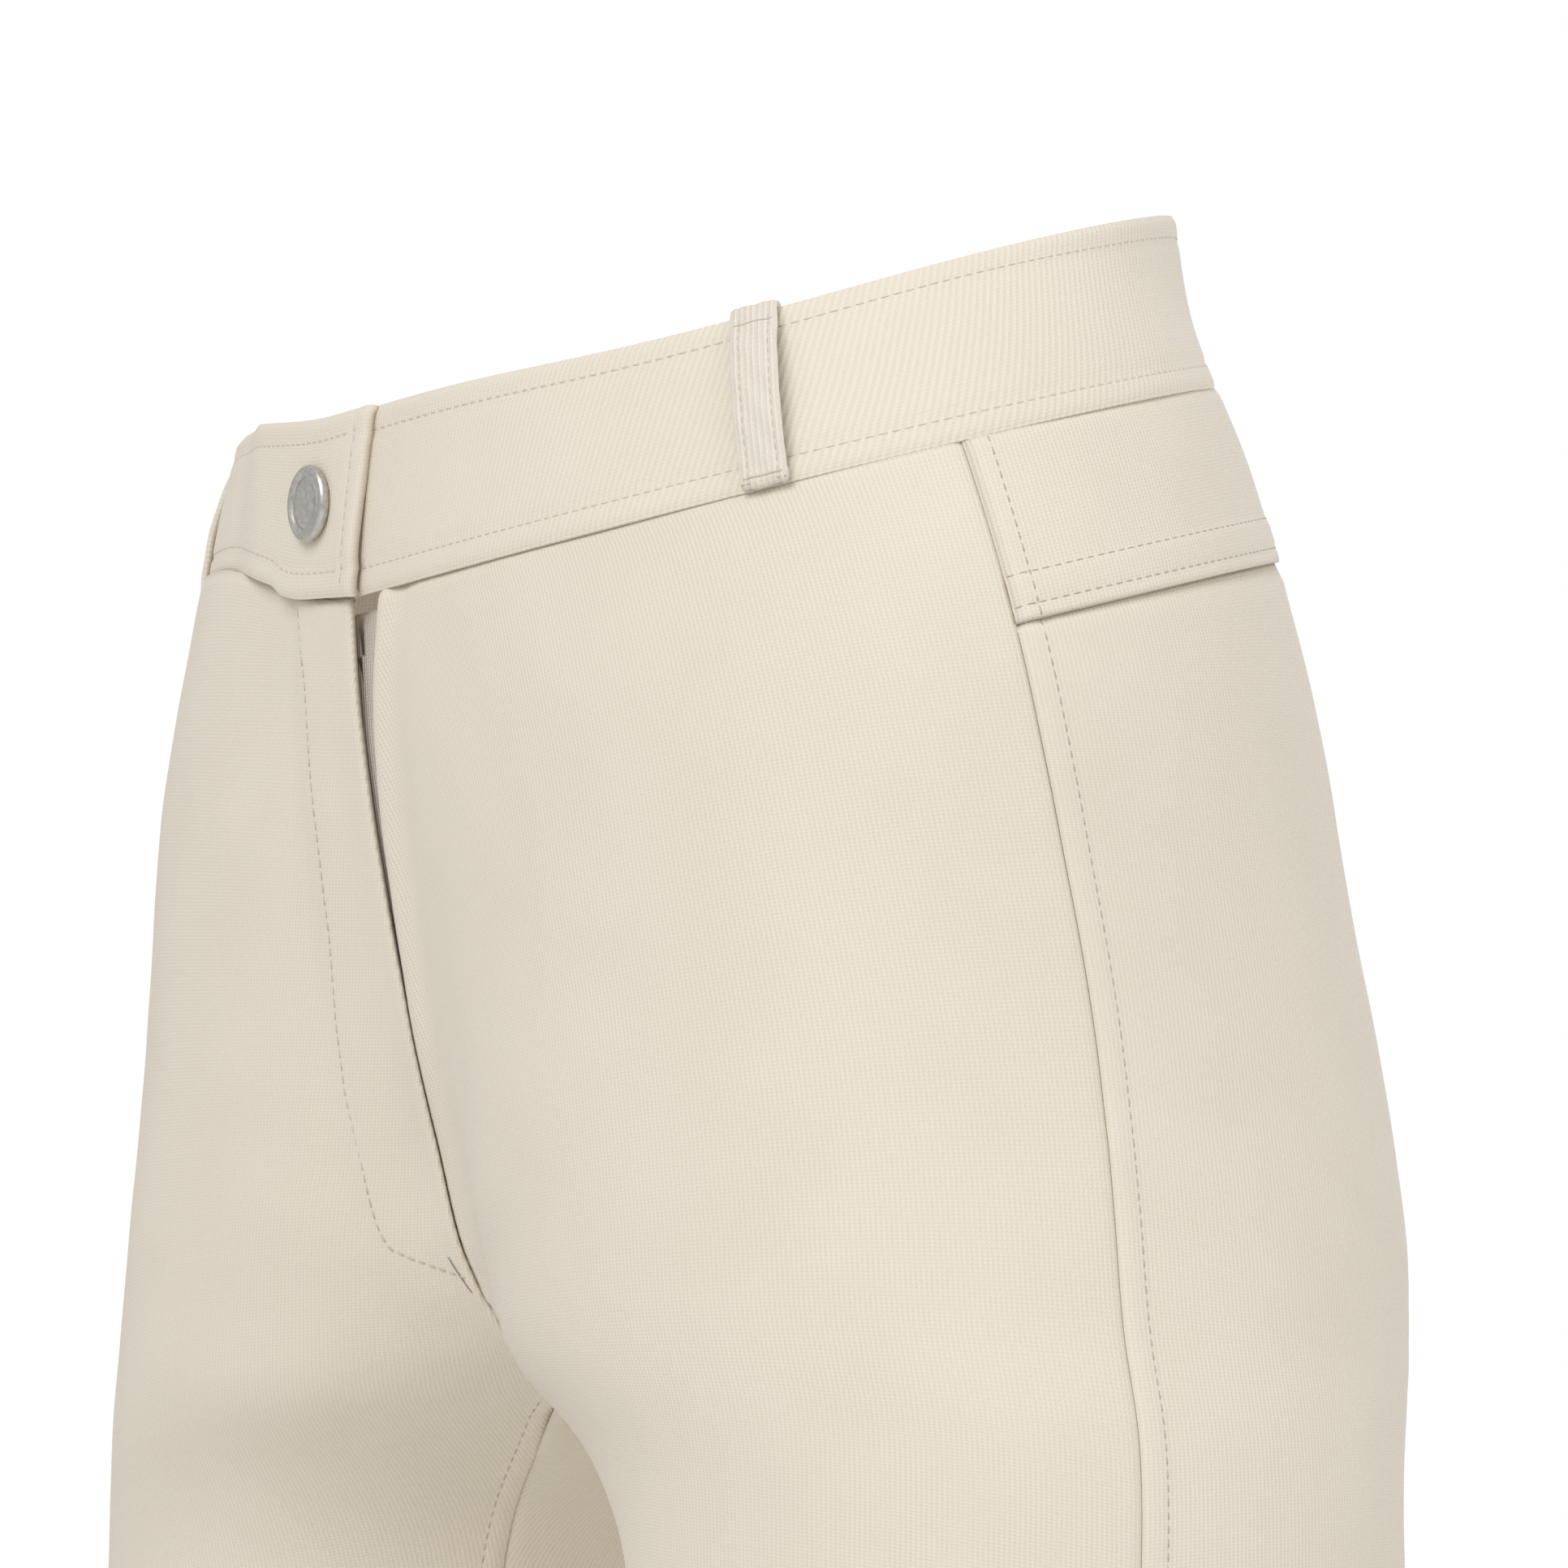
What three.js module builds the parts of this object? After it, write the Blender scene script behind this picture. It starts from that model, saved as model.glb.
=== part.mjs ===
import * as THREE from 'three';

// Sizes in millimetres. +Z is up, -Y is the wearer's front, +X is the wearer's left.

// cloth
const clothWall = 1.6;
const seamGap = 0.3;
const halfGap = seamGap / 2;
const hemHeight = -981;

// waistband
const waistTilt = 0.285;
const bandDepth = 42;
const bandWall = 2.4;
const bandProud = 0.4;
const tabProud = 3.1;
const tabEndTop = 6.1;
const tabEndFoot = 0.2;
const tabEaseFrom = -62;
const tabEaseTo = -104;
const underlapEnd = -384;
const bandColumns = 80;
const bandRows = 3;

// the band stands a little higher at the right front, under the lapped tab
const liftSeam = 9;
const liftTop = 3;
const liftFull = -46;
const liftStart = -80;
const liftEnd = -135;

// back yoke
const yokeDepth = 84.5;

// front opening
const flyFoot = -218;
const zipCentre = -3.5;
const tapeHalfWidth = 15;
const tapeTop = -70.5;
const tapeFoot = -213;
const tapeWall = 0.8;
const tapeDepth = 2.3;
const tapeSink = 4;
const tapeSinkLength = 34;
const sliderWidth = 5.6;
const sliderLength = 8.5;
const sliderWall = 2.2;
const sliderTop = -71.5;
const pullWidth = 3.6;
const pullLength = 13;
const pullWall = 0.8;

// press-stud cap on the tab
const buttonAngle = -12.1;
const buttonHeight = -44.5;
const buttonRadius = 8.8;
const buttonSegments = 40;

// belt loops
const loopAngle = 65.5;
const loopWidth = 11;
const loopWall = 1.4;
const loopFrontGap = 3.4;
const loopBackGap = 6;
const loopBelowSeam = 3;
const loopTurn = 9;

// rows of facets down the panels
const yokeRows = 3;
const seatRows = 9;
const legRows = 18;
const frontColumns = 10;
const backColumns = 13;

// the figure: one row of sizes for each height. cx, cy is the leg's middle; rx, front and back are
// its half-width and its depths; blendFront and blendBack round the two legs into one body
const figure = [
  { z: 44, cx: 0, cy: 1, rx: 126, front: 89, back: 91, power: 2.1, blendFront: 0.1, blendBack: 0.1 },
  { z: 4, cx: 4, cy: 1, rx: 130.5, front: 89, back: 93, power: 2.1, blendFront: 0.1, blendBack: 0.1 },
  { z: -46, cx: 26, cy: 2, rx: 132, front: 90, back: 99, power: 2.1, blendFront: 0.12, blendBack: 0.14 },
  { z: -96, cx: 51, cy: 2, rx: 121, front: 90.5, back: 104, power: 2.1, blendFront: 0.2, blendBack: 0.3 },
  { z: -146, cx: 69, cy: 4, rx: 106, front: 91, back: 107, power: 2.1, blendFront: 0.34, blendBack: 0.46 },
  { z: -186, cx: 80, cy: 6.5, rx: 99.5, front: 93.5, back: 108, power: 2.1, blendFront: 0.42, blendBack: 0.55 },
  { z: -216, cx: 86, cy: 8, rx: 98, front: 95, back: 106.5, power: 2.1, blendFront: 0.4, blendBack: 0.45 },
  { z: -241, cx: 96, cy: 8, rx: 92.5, front: 93.5, back: 101, power: 2.1, blendFront: 0.46, blendBack: 0.4 },
  { z: -266, cx: 115, cy: 8, rx: 80, front: 87, back: 90, power: 2.1, blendFront: 0.12, blendBack: 0.12 },
  { z: -306, cx: 125, cy: 8, rx: 73.5, front: 84, back: 85, power: 2.1, blendFront: 0.01, blendBack: 0.01 },
  { z: -396, cx: 121, cy: 5, rx: 69.5, front: 80, back: 82.5, power: 2.05, blendFront: 0.01, blendBack: 0.01 },
  { z: -496, cx: 113, cy: 1, rx: 63, front: 71, back: 72.5, power: 2, blendFront: 0.01, blendBack: 0.01 },
  { z: -581, cx: 109, cy: -2, rx: 57, front: 62, back: 61, power: 2, blendFront: 0.01, blendBack: 0.01 },
  { z: -636, cx: 107, cy: 4, rx: 54, front: 56, back: 58, power: 2, blendFront: 0.01, blendBack: 0.01 },
  { z: -706, cx: 105, cy: 14, rx: 54, front: 54, back: 61, power: 2, blendFront: 0.01, blendBack: 0.01 },
  { z: -796, cx: 102, cy: 18, rx: 47, front: 46, back: 51, power: 2, blendFront: 0.01, blendBack: 0.01 },
  { z: -896, cx: 99, cy: 18, rx: 38, front: 39, back: 41, power: 2, blendFront: 0.01, blendBack: 0.01 },
  { z: -981, cx: 98, cy: 16, rx: 38, front: 40, back: 42, power: 2, blendFront: 0.01, blendBack: 0.01 },
];

// where the side seam and the inseam run: angle round the leg's middle, 0 inward, 90 to the front
const sideSeam = [
  { z: -20, angle: 167 },
  { z: -50, angle: 168.2 },
  { z: -100, angle: 170.2 },
  { z: -170, angle: 173 },
  { z: -240, angle: 171.5 },
  { z: -300, angle: 167.6 },
  { z: -400, angle: 167 },
  { z: -581, angle: 171 },
  { z: -981, angle: 175 },
];
const inseam = [
  { z: -250, angle: 22 },
  { z: -300, angle: 22 },
  { z: -400, angle: 17 },
  { z: -581, angle: 11 },
  { z: -981, angle: 6 },
];

// how far the left front's edge stands back from the centre line beside the fly
const flyOpening = [
  { z: -60, away: 12.4 },
  { z: -68, away: 11.2 },
  { z: -89, away: 6.2 },
  { z: -115, away: 2.6 },
  { z: -140, away: 1.1 },
  { z: -160, away: 0 },
];

// the crotch curve is drawn round this point of the middle plane, from the front to the back
const crotchCentreY = 8;
const crotchCentreZ = -176;
const crotchPoint = 58;

const radians = (angle) => (angle * Math.PI) / 180;
const degrees = (angle) => (angle * 180) / Math.PI;
const mix = (a, b, t) => a + (b - a) * t;
const clamp01 = (t) => Math.min(1, Math.max(0, t));
const ease = (t) => clamp01(t) * clamp01(t) * (3 - 2 * clamp01(t));

// a smooth curve through the rows of a table that runs from the top down
function slopeAt(table, key, i) {
  const last = table.length - 1;
  if (i === 0 || i === last) {
    const a = i === 0 ? 0 : last - 1;
    return (table[a + 1][key] - table[a][key]) / (table[a + 1].z - table[a].z);
  }
  const before = table[i].z - table[i - 1].z;
  const after = table[i + 1].z - table[i].z;
  const rise = before * before * table[i + 1][key] - after * after * table[i - 1][key];
  return (rise + (after * after - before * before) * table[i][key]) / (before * after * (before + after));
}

function curve(table, key, z) {
  const last = table.length - 1;
  if (z >= table[0].z) return table[0][key];
  if (z <= table[last].z) return table[last][key];
  let i = 0;
  while (table[i + 1].z > z) i += 1;
  const h = table[i + 1].z - table[i].z;
  const t = (z - table[i].z) / h;
  const t2 = t * t;
  const t3 = t2 * t;
  const near = (2 * t3 - 3 * t2 + 1) * table[i][key] + (t3 - 2 * t2 + t) * h * slopeAt(table, key, i);
  const far = (3 * t2 - 2 * t3) * table[i + 1][key] + (t3 - t2) * h * slopeAt(table, key, i + 1);
  return near + far;
}

const columns = ['cx', 'cy', 'rx', 'front', 'back', 'power', 'blendFront', 'blendBack'];
const kept = new Map();
function sizesAt(z) {
  const key = z.toFixed(4);
  if (!kept.has(key)) {
    const row = {};
    for (const column of columns) row[column] = curve(figure, column, z);
    kept.set(key, row);
  }
  return kept.get(key);
}

// below zero inside the figure
function field(x, y, z) {
  const s = sizesAt(z);
  const dy = y - s.cy;
  const depth = dy < 0 ? s.front : s.back;
  const oval = (dx) => (Math.abs(dx / s.rx) ** s.power + Math.abs(dy / depth) ** s.power) ** (1 / s.power);
  const left = oval(x - s.cx);
  const right = oval(x + s.cx);
  const blend = Math.max(1e-6, mix(s.blendFront, s.blendBack, ease((dy + 40) / 80)));
  const meet = Math.max(blend - Math.abs(left - right), 0) / blend;
  return Math.min(left, right) - (meet * meet * blend) / 4 - 1;
}

// the way out along a straight line from a point inside the figure
function wayOut(from, along, reach) {
  let near = 0;
  let far = reach;
  for (let i = 0; i < 44; i += 1) {
    const middle = (near + far) / 2;
    const p = from.clone().addScaledVector(along, middle);
    if (field(p.x, p.y, p.z) < 0) near = middle;
    else far = middle;
  }
  return from.clone().addScaledVector(along, near);
}

function outward(p) {
  const step = 0.5;
  const n = new THREE.Vector3(
    field(p.x + step, p.y, p.z) - field(p.x - step, p.y, p.z),
    field(p.x, p.y + step, p.z) - field(p.x, p.y - step, p.z),
    field(p.x, p.y, p.z + step) - field(p.x, p.y, p.z - step),
  );
  return n.normalize();
}

// a point of the left leg's side of the figure; the right side is its mirror image
function legPoint(angle, z) {
  const s = sizesAt(z);
  const along = new THREE.Vector3(-Math.cos(radians(angle)), -Math.sin(radians(angle)), 0);
  return wayOut(new THREE.Vector3(s.cx, s.cy, z), along, 220);
}

// a point of the waist, by its angle from the front round to the wearer's left
function waistPoint(angle, z) {
  const along = new THREE.Vector3(Math.sin(radians(angle)), -Math.cos(radians(angle)), 0);
  return wayOut(new THREE.Vector3(0, 0, z), along, 260);
}

function lift(angle) {
  const rise = ease(angle / liftFull);
  const fall = 1 - ease((angle - liftStart) / (liftEnd - liftStart));
  return rise * fall;
}

// the waist seam and the band's top edge both lie along one tilted plane
function tiltedHeight(angle, below, raise) {
  let z = -below;
  for (let i = 0; i < 6; i += 1) z = waistTilt * waistPoint(angle, z).y - below + raise * lift(angle);
  return z;
}

function tiltedLegHeight(angle, below, side) {
  let z = -below;
  for (let i = 0; i < 6; i += 1) {
    const p = legPoint(angle, z);
    const around = degrees(Math.atan2(side * p.x, -p.y));
    const raise = around < 0 ? liftSeam * lift(around) : 0;
    z = waistTilt * p.y - below + raise;
  }
  return z;
}

// the front and back centre seams: straight down, then round under the body
function middleFront(share) {
  const top = waistTilt * -88.5 - bandDepth;
  return middlePoint(share, top, 0, crotchPoint, 0.56);
}

function middleBack(share) {
  const top = waistTilt * 102 - yokeDepth;
  return middlePoint(share, top, 180, crotchPoint, 0.4);
}

function middlePoint(share, top, fromAngle, toAngle, straight) {
  if (share < straight) {
    const z = mix(top, crotchCentreZ, share / straight);
    const along = new THREE.Vector3(0, fromAngle === 0 ? -1 : 1, 0);
    return wayOut(new THREE.Vector3(0, crotchCentreY, z), along, 200);
  }
  const turn = radians(mix(fromAngle, toAngle, (share - straight) / (1 - straight)));
  const along = new THREE.Vector3(0, -Math.cos(turn), -Math.sin(turn));
  return wayOut(new THREE.Vector3(0, crotchCentreY, crotchCentreZ), along, 200);
}

// seen from the leg's middle
function asAngle(p, behind) {
  const s = sizesAt(p.z);
  const angle = degrees(Math.atan2(s.cy - p.y, s.cx - p.x));
  return behind ? angle + 360 : angle;
}

function frontEdge(z, away) {
  const along = new THREE.Vector3(0, -1, 0);
  return wayOut(new THREE.Vector3(away, sizesAt(z).cy, z), along, 200);
}

// heights down the side seam, shared by every panel that meets it
const sideTop = () => tiltedLegHeight(168, bandDepth, 1);
const sideYoke = () => tiltedLegHeight(170.4, yokeDepth, 1);
const sideFork = -262;

function sideHeight(row) {
  if (row <= yokeRows) return mix(sideTop(), sideYoke(), row / yokeRows);
  if (row <= yokeRows + seatRows) return mix(sideYoke(), sideFork, (row - yokeRows) / seatRows);
  return mix(sideFork, hemHeight, (row - yokeRows - seatRows) / legRows);
}

function inseamHeight(row, fork) {
  return mix(fork, hemHeight, ((row - yokeRows - seatRows) / legRows) ** 1.12);
}

// one row of a panel, from its centre seam or inseam to the side seam
function innerEnd(row, behind, side) {
  const forkRow = yokeRows + seatRows;
  if (row <= forkRow) {
    const share = behind ? (row - yokeRows) / seatRows : row / forkRow;
    let p = behind ? middleBack(share) : middleFront(share);
    if (!behind && side > 0 && p.z > -160) p = frontEdge(p.z, curve(flyOpening, 'away', p.z));
    return { angle: asAngle(p, behind), z: p.z, point: p };
  }
  const z = inseamHeight(row, middleFront(1).z);
  const forkAngle = asAngle(middleFront(1), false);
  const angle = mix(forkAngle, curve(inseam, 'angle', z), ease((row - forkRow) / 2.5));
  return { angle: behind ? angle + 360 : angle, z, point: null };
}

function surfaceMesh(name, grid, colour) {
  // grid[i][j] holds an outer and an inner point; the two skins are joined round the edge
  const rows = grid.length;
  const across = grid[0].length;
  const points = [];
  const faces = [];
  const outer = (i, j) => 2 * (i * across + j);
  const inner = (i, j) => outer(i, j) + 1;
  for (const line of grid) for (const pair of line) points.push(pair.outer, pair.inner);
  const quad = (a, b, c, d) => faces.push([a, b, c], [a, c, d]);
  for (let i = 0; i + 1 < rows; i += 1) {
    for (let j = 0; j + 1 < across; j += 1) {
      quad(outer(i, j), outer(i + 1, j), outer(i + 1, j + 1), outer(i, j + 1));
      quad(inner(i, j), inner(i, j + 1), inner(i + 1, j + 1), inner(i + 1, j));
    }
    quad(outer(i, 0), inner(i, 0), inner(i + 1, 0), outer(i + 1, 0));
    quad(outer(i + 1, across - 1), inner(i + 1, across - 1), inner(i, across - 1), outer(i, across - 1));
  }
  for (let j = 0; j + 1 < across; j += 1) {
    quad(outer(0, j + 1), inner(0, j + 1), inner(0, j), outer(0, j));
    quad(outer(rows - 1, j), inner(rows - 1, j), inner(rows - 1, j + 1), outer(rows - 1, j + 1));
  }
  return solid(name, points, faces, colour);
}

function solid(name, points, faces, colour) {
  let volume = 0;
  for (const [a, b, c] of faces) {
    volume += points[a].dot(new THREE.Vector3().crossVectors(points[b], points[c]));
  }
  const flat = [];
  for (const [a, b, c] of faces) flat.push(...(volume > 0 ? [a, b, c] : [a, c, b]));
  const shape = new THREE.BufferGeometry();
  shape.setAttribute('position', new THREE.Float32BufferAttribute(points.flatMap((p) => [p.x, p.y, p.z]), 3));
  shape.setIndex(flat);
  shape.computeVertexNormals();
  const mesh = new THREE.Mesh(shape, new THREE.MeshStandardMaterial({ color: colour, roughness: 0.85 }));
  mesh.name = name;
  return mesh;
}

function wallPair(p, side, thickness) {
  const n = outward(p);
  const inner = p.clone().addScaledVector(n, -thickness);
  p.x = Math.max(p.x, halfGap);
  inner.x = Math.max(inner.x, halfGap);
  if (side < 0) {
    p.x = -p.x;
    inner.x = -inner.x;
  }
  return { outer: p, inner };
}

// a panel between two rows; side is 1 for the wearer's left and -1 for the right
function panel(name, side, behind, firstRow, lastRow, across, colour) {
  const grid = [];
  for (let row = firstRow; row <= lastRow; row += 1) {
    const near = innerEnd(row, behind, side);
    const sideZ = sideHeight(row);
    const sideAngle = curve(sideSeam, 'angle', sideZ);
    const line = [];
    for (let j = 0; j <= across; j += 1) {
      const share = j / across;
      let angle = mix(near.angle, sideAngle, share);
      let z = mix(near.z, sideZ, share);
      if (row === 0) z = tiltedLegHeight(angle, bandDepth, side) - seamGap;
      if (behind && row === yokeRows) z = tiltedLegHeight(angle, yokeDepth, side) - halfGap;
      if (j === across) angle += (behind ? 1 : -1) * degrees(halfGap / 78);
      let p;
      if (j === 0 && near.point) {
        p = near.point.clone();
        if (row === 0 || (behind && row === yokeRows)) p.z -= row === 0 ? seamGap : halfGap;
        p.x += halfGap;
      } else {
        if (j === 0) angle += (behind ? -1 : 1) * degrees(halfGap / 70);
        p = legPoint(angle, z);
      }
      line.push(wallPair(p, side, clothWall));
    }
    grid.push(line);
  }
  return surfaceMesh(name, grid, colour);
}

function yoke(name, side, colour) {
  const grid = [];
  for (let row = 0; row <= yokeRows; row += 1) {
    const line = [];
    for (let j = 0; j <= backColumns; j += 1) {
      const share = j / backColumns;
      const below = mix(bandDepth, yokeDepth, row / yokeRows);
      const sideZ = sideHeight(row);
      const sideAngle = curve(sideSeam, 'angle', sideZ);
      const centreZ = waistTilt * 101 - below;
      const centre = wayOut(new THREE.Vector3(0, 0, centreZ), new THREE.Vector3(0, 1, 0), 200);
      let angle = mix(asAngle(centre, true), sideAngle, share);
      const inset = row === 0 ? -seamGap : row === yokeRows ? halfGap : 0;
      if (j === backColumns) angle += degrees(halfGap / 100);
      let p;
      if (j === 0) {
        centre.z = tiltedHeight(180, below, 0) + inset;
        p = wayOut(new THREE.Vector3(0, 0, centre.z), new THREE.Vector3(0, 1, 0), 200);
        p.x += halfGap;
      } else {
        p = legPoint(angle, tiltedLegHeight(angle, below, side) + inset);
      }
      line.push(wallPair(p, side, clothWall));
    }
    grid.push(line);
  }
  return surfaceMesh(name, grid, colour);
}

// how far the band's outer face stands off the figure at each angle
function bandOffset(angle) {
  return mix(tabProud, bandProud, ease((angle - tabEaseFrom) / (tabEaseTo - tabEaseFrom)));
}

function bandPoint(angle, share, offset) {
  const top = tiltedHeight(angle, 0, liftTop);
  const foot = tiltedHeight(angle, bandDepth, liftSeam) + halfGap;
  const p = waistPoint(angle, mix(top, foot, share));
  return p.addScaledVector(outward(p), offset);
}

function waistband(colour) {
  const grid = [];
  for (let j = 0; j <= bandColumns; j += 1) {
    const line = [];
    for (let i = 0; i <= bandRows; i += 1) {
      const share = i / bandRows;
      const start = mix(tabEndTop, tabEndFoot, share);
      const end = underlapEnd;
      const angle = mix(start, end, j / bandColumns);
      const off = bandOffset(angle);
      const turned = angle < -360 ? angle + 360 : angle;
      const outer = bandPoint(turned < -180 ? turned + 360 : turned, share, off);
      const inner = bandPoint(turned < -180 ? turned + 360 : turned, share, off - bandWall);
      line.push({ outer, inner });
    }
    grid.push(line);
  }
  return surfaceMesh('waistband', grid, colour);
}

// a strip that follows a path of points off the band, with square ends
function loop(name, angle, gap, colour) {
  const off = bandOffset(angle > tabEndTop ? angle - 360 : angle);
  const clear = 0.6;
  const height = bandDepth + loopBelowSeam;
  const path = [
    { down: height, out: clear + bandProud - off },
    { down: height - 3, out: clear + 0.3 },
    { down: height * 0.82, out: mix(clear, gap, 0.55) },
    { down: height * 0.6, out: mix(clear, gap, 0.95) },
    { down: height * 0.4, out: gap },
    { down: height * 0.2, out: mix(clear, gap, 0.7) },
    { down: 2.5, out: clear + 0.5 },
    { down: -0.9, out: clear - 0.1 },
    { down: -1.8, out: -bandWall / 2 },
    { down: -1.6, out: -bandWall - 1.8 * clear },
    { down: 1.6, out: -bandWall - 2.7 * clear },
    { down: loopTurn, out: -bandWall - 2.7 * clear },
  ];
  const middles = path.map(({ down, out }) => {
    const share = down / bandDepth;
    const p = bandPoint(angle, Math.min(1, Math.max(0, share)), 0);
    p.z -= (share > 1 ? share - 1 : Math.min(0, share)) * bandDepth;
    const foot = share > 1 ? waistPoint(angle, p.z) : p;
    const n = outward(foot);
    return foot.clone().addScaledVector(n, off + out);
  });
  const facingOut = outward(waistPoint(angle, tiltedHeight(angle, bandDepth / 2, 0)));
  const across = new THREE.Vector3(-facingOut.y, facingOut.x, waistTilt * facingOut.x).normalize();
  const points = [];
  const faces = [];
  middles.forEach((p, k) => {
    const next = middles[Math.min(k + 1, middles.length - 1)];
    const before = middles[Math.max(k - 1, 0)];
    const along = next.clone().sub(before).normalize();
    const out = new THREE.Vector3().crossVectors(along, across).normalize();
    const facing = k < 8 ? outward(waistPoint(angle, p.z)) : null;
    if (facing && out.dot(facing) < 0) out.negate();
    if (!facing && out.dot(points.out) < 0) out.negate();
    points.out = out.clone();
    for (const [w, t] of [[-1, 0], [1, 0], [1, 1], [-1, 1]]) {
      points.push(p.clone().addScaledVector(across, (w * loopWidth) / 2).addScaledVector(out, t * loopWall));
    }
  });
  for (let k = 0; k + 1 < middles.length; k += 1) {
    for (let e = 0; e < 4; e += 1) {
      const a = 4 * k + e;
      const b = 4 * k + ((e + 1) % 4);
      faces.push([a, b, b + 4], [a, b + 4, a + 4]);
    }
  }
  const last = 4 * (middles.length - 1);
  faces.push([0, 2, 1], [0, 3, 2], [last, last + 1, last + 2], [last, last + 2, last + 3]);
  return solid(name, points, faces, colour);
}

// the zip lies behind the fronts and sinks a little at its top, behind the slider
function tapeSurface(z) {
  return tapeDepth + tapeSink * (1 - ease((tapeTop - z) / tapeSinkLength));
}

function zipTape(colour) {
  const rows = 16;
  const across = 6;
  const grid = [];
  for (let i = 0; i <= rows; i += 1) {
    const z = mix(tapeTop, tapeFoot, i / rows);
    const line = [];
    for (let j = 0; j <= across; j += 1) {
      const x = zipCentre + mix(-tapeHalfWidth, tapeHalfWidth, j / across);
      const p = frontEdge(z, x);
      const n = outward(p);
      const outer = p.clone().addScaledVector(n, -tapeSurface(z));
      const inner = p.clone().addScaledVector(n, -tapeSurface(z) - tapeWall);
      line.push({ outer, inner });
    }
    grid.push(line);
  }
  return surfaceMesh('zip_tape', grid, colour);
}

function frontBlock(name, x, width, top, length, depth, wall, colour) {
  const rows = 3;
  const across = 2;
  const grid = [];
  for (let i = 0; i <= rows; i += 1) {
    const z = top - (length * i) / rows;
    const line = [];
    for (let j = 0; j <= across; j += 1) {
      const p = frontEdge(z, x + width * (j / across - 0.5));
      const n = outward(p);
      line.push({ outer: p.clone().addScaledVector(n, -depth), inner: p.clone().addScaledVector(n, -depth - wall) });
    }
    grid.push(line);
  }
  return surfaceMesh(name, grid, colour);
}

function button(colour) {
  const profile = [
    { r: 0, h: 0 },
    { r: 7.4, h: 0 },
    { r: 8.5, h: 0.5 },
    { r: buttonRadius, h: 1.3 },
    { r: 8.6, h: 2.2 },
    { r: 7.8, h: 2.8 },
    { r: 6.9, h: 2.6 },
    { r: 6.4, h: 2.1 },
    { r: 4.2, h: 2.3 },
    { r: 0, h: 2.5 },
  ];
  const foot = waistPoint(buttonAngle, buttonHeight);
  const axis = outward(foot);
  const base = foot.clone().addScaledVector(axis, tabProud + 0.25);
  const turn = new THREE.Quaternion().setFromUnitVectors(new THREE.Vector3(0, 0, 1), axis);
  const points = [new THREE.Vector3(0, 0, profile[0].h)];
  const faces = [];
  const rings = profile.slice(1, -1);
  for (const { r, h } of rings) {
    for (let k = 0; k < buttonSegments; k += 1) {
      const a = (2 * Math.PI * k) / buttonSegments;
      points.push(new THREE.Vector3(r * Math.cos(a), r * Math.sin(a), h));
    }
  }
  points.push(new THREE.Vector3(0, 0, profile[profile.length - 1].h));
  const at = (ring, k) => 1 + ring * buttonSegments + (k % buttonSegments);
  for (let k = 0; k < buttonSegments; k += 1) {
    faces.push([0, at(0, k + 1), at(0, k)]);
    for (let ring = 0; ring + 1 < rings.length; ring += 1) {
      faces.push([at(ring, k), at(ring, k + 1), at(ring + 1, k + 1)]);
      faces.push([at(ring, k), at(ring + 1, k + 1), at(ring + 1, k)]);
    }
    faces.push([points.length - 1, at(rings.length - 1, k), at(rings.length - 1, k + 1)]);
  }
  for (const p of points) p.applyQuaternion(turn).add(base);
  return solid('button_cap', points, faces, colour);
}

const cloth = 0xe4dccc;
const forkRow = yokeRows + seatRows;
const hemRow = forkRow + legRows;
const group = new THREE.Group();
group.name = 'jodhpurs';
group.add(panel('front_left', 1, false, 0, hemRow, frontColumns, cloth));
group.add(panel('front_right', -1, false, 0, hemRow, frontColumns, cloth));
group.add(panel('back_left', 1, true, yokeRows, hemRow, backColumns, cloth));
group.add(panel('back_right', -1, true, yokeRows, hemRow, backColumns, cloth));
group.add(yoke('yoke_left', 1, cloth));
group.add(yoke('yoke_right', -1, cloth));
group.add(waistband(cloth));
group.add(loop('loop_front_left', loopAngle, loopFrontGap, 0xe8e0d2));
group.add(loop('loop_front_right', -loopAngle, loopFrontGap, 0xe8e0d2));
group.add(loop('loop_centre_back', 180, loopBackGap, 0xe8e0d2));
group.add(zipTape(0xb9ad9c));
group.add(frontBlock('zip_slider', zipCentre, sliderWidth, sliderTop, sliderLength, 2.35, sliderWall, 0xb8b6b0));
const pullTop = sliderTop - sliderLength - 0.4;
group.add(frontBlock('zip_pull', zipCentre, pullWidth, pullTop, pullLength, 2.1, pullWall, 0xb8b6b0));
group.add(button(0xcfcdc8));

export default group;
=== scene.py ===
import math

import bmesh
import bpy
import numpy as np
from mathutils import Matrix, Vector


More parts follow.
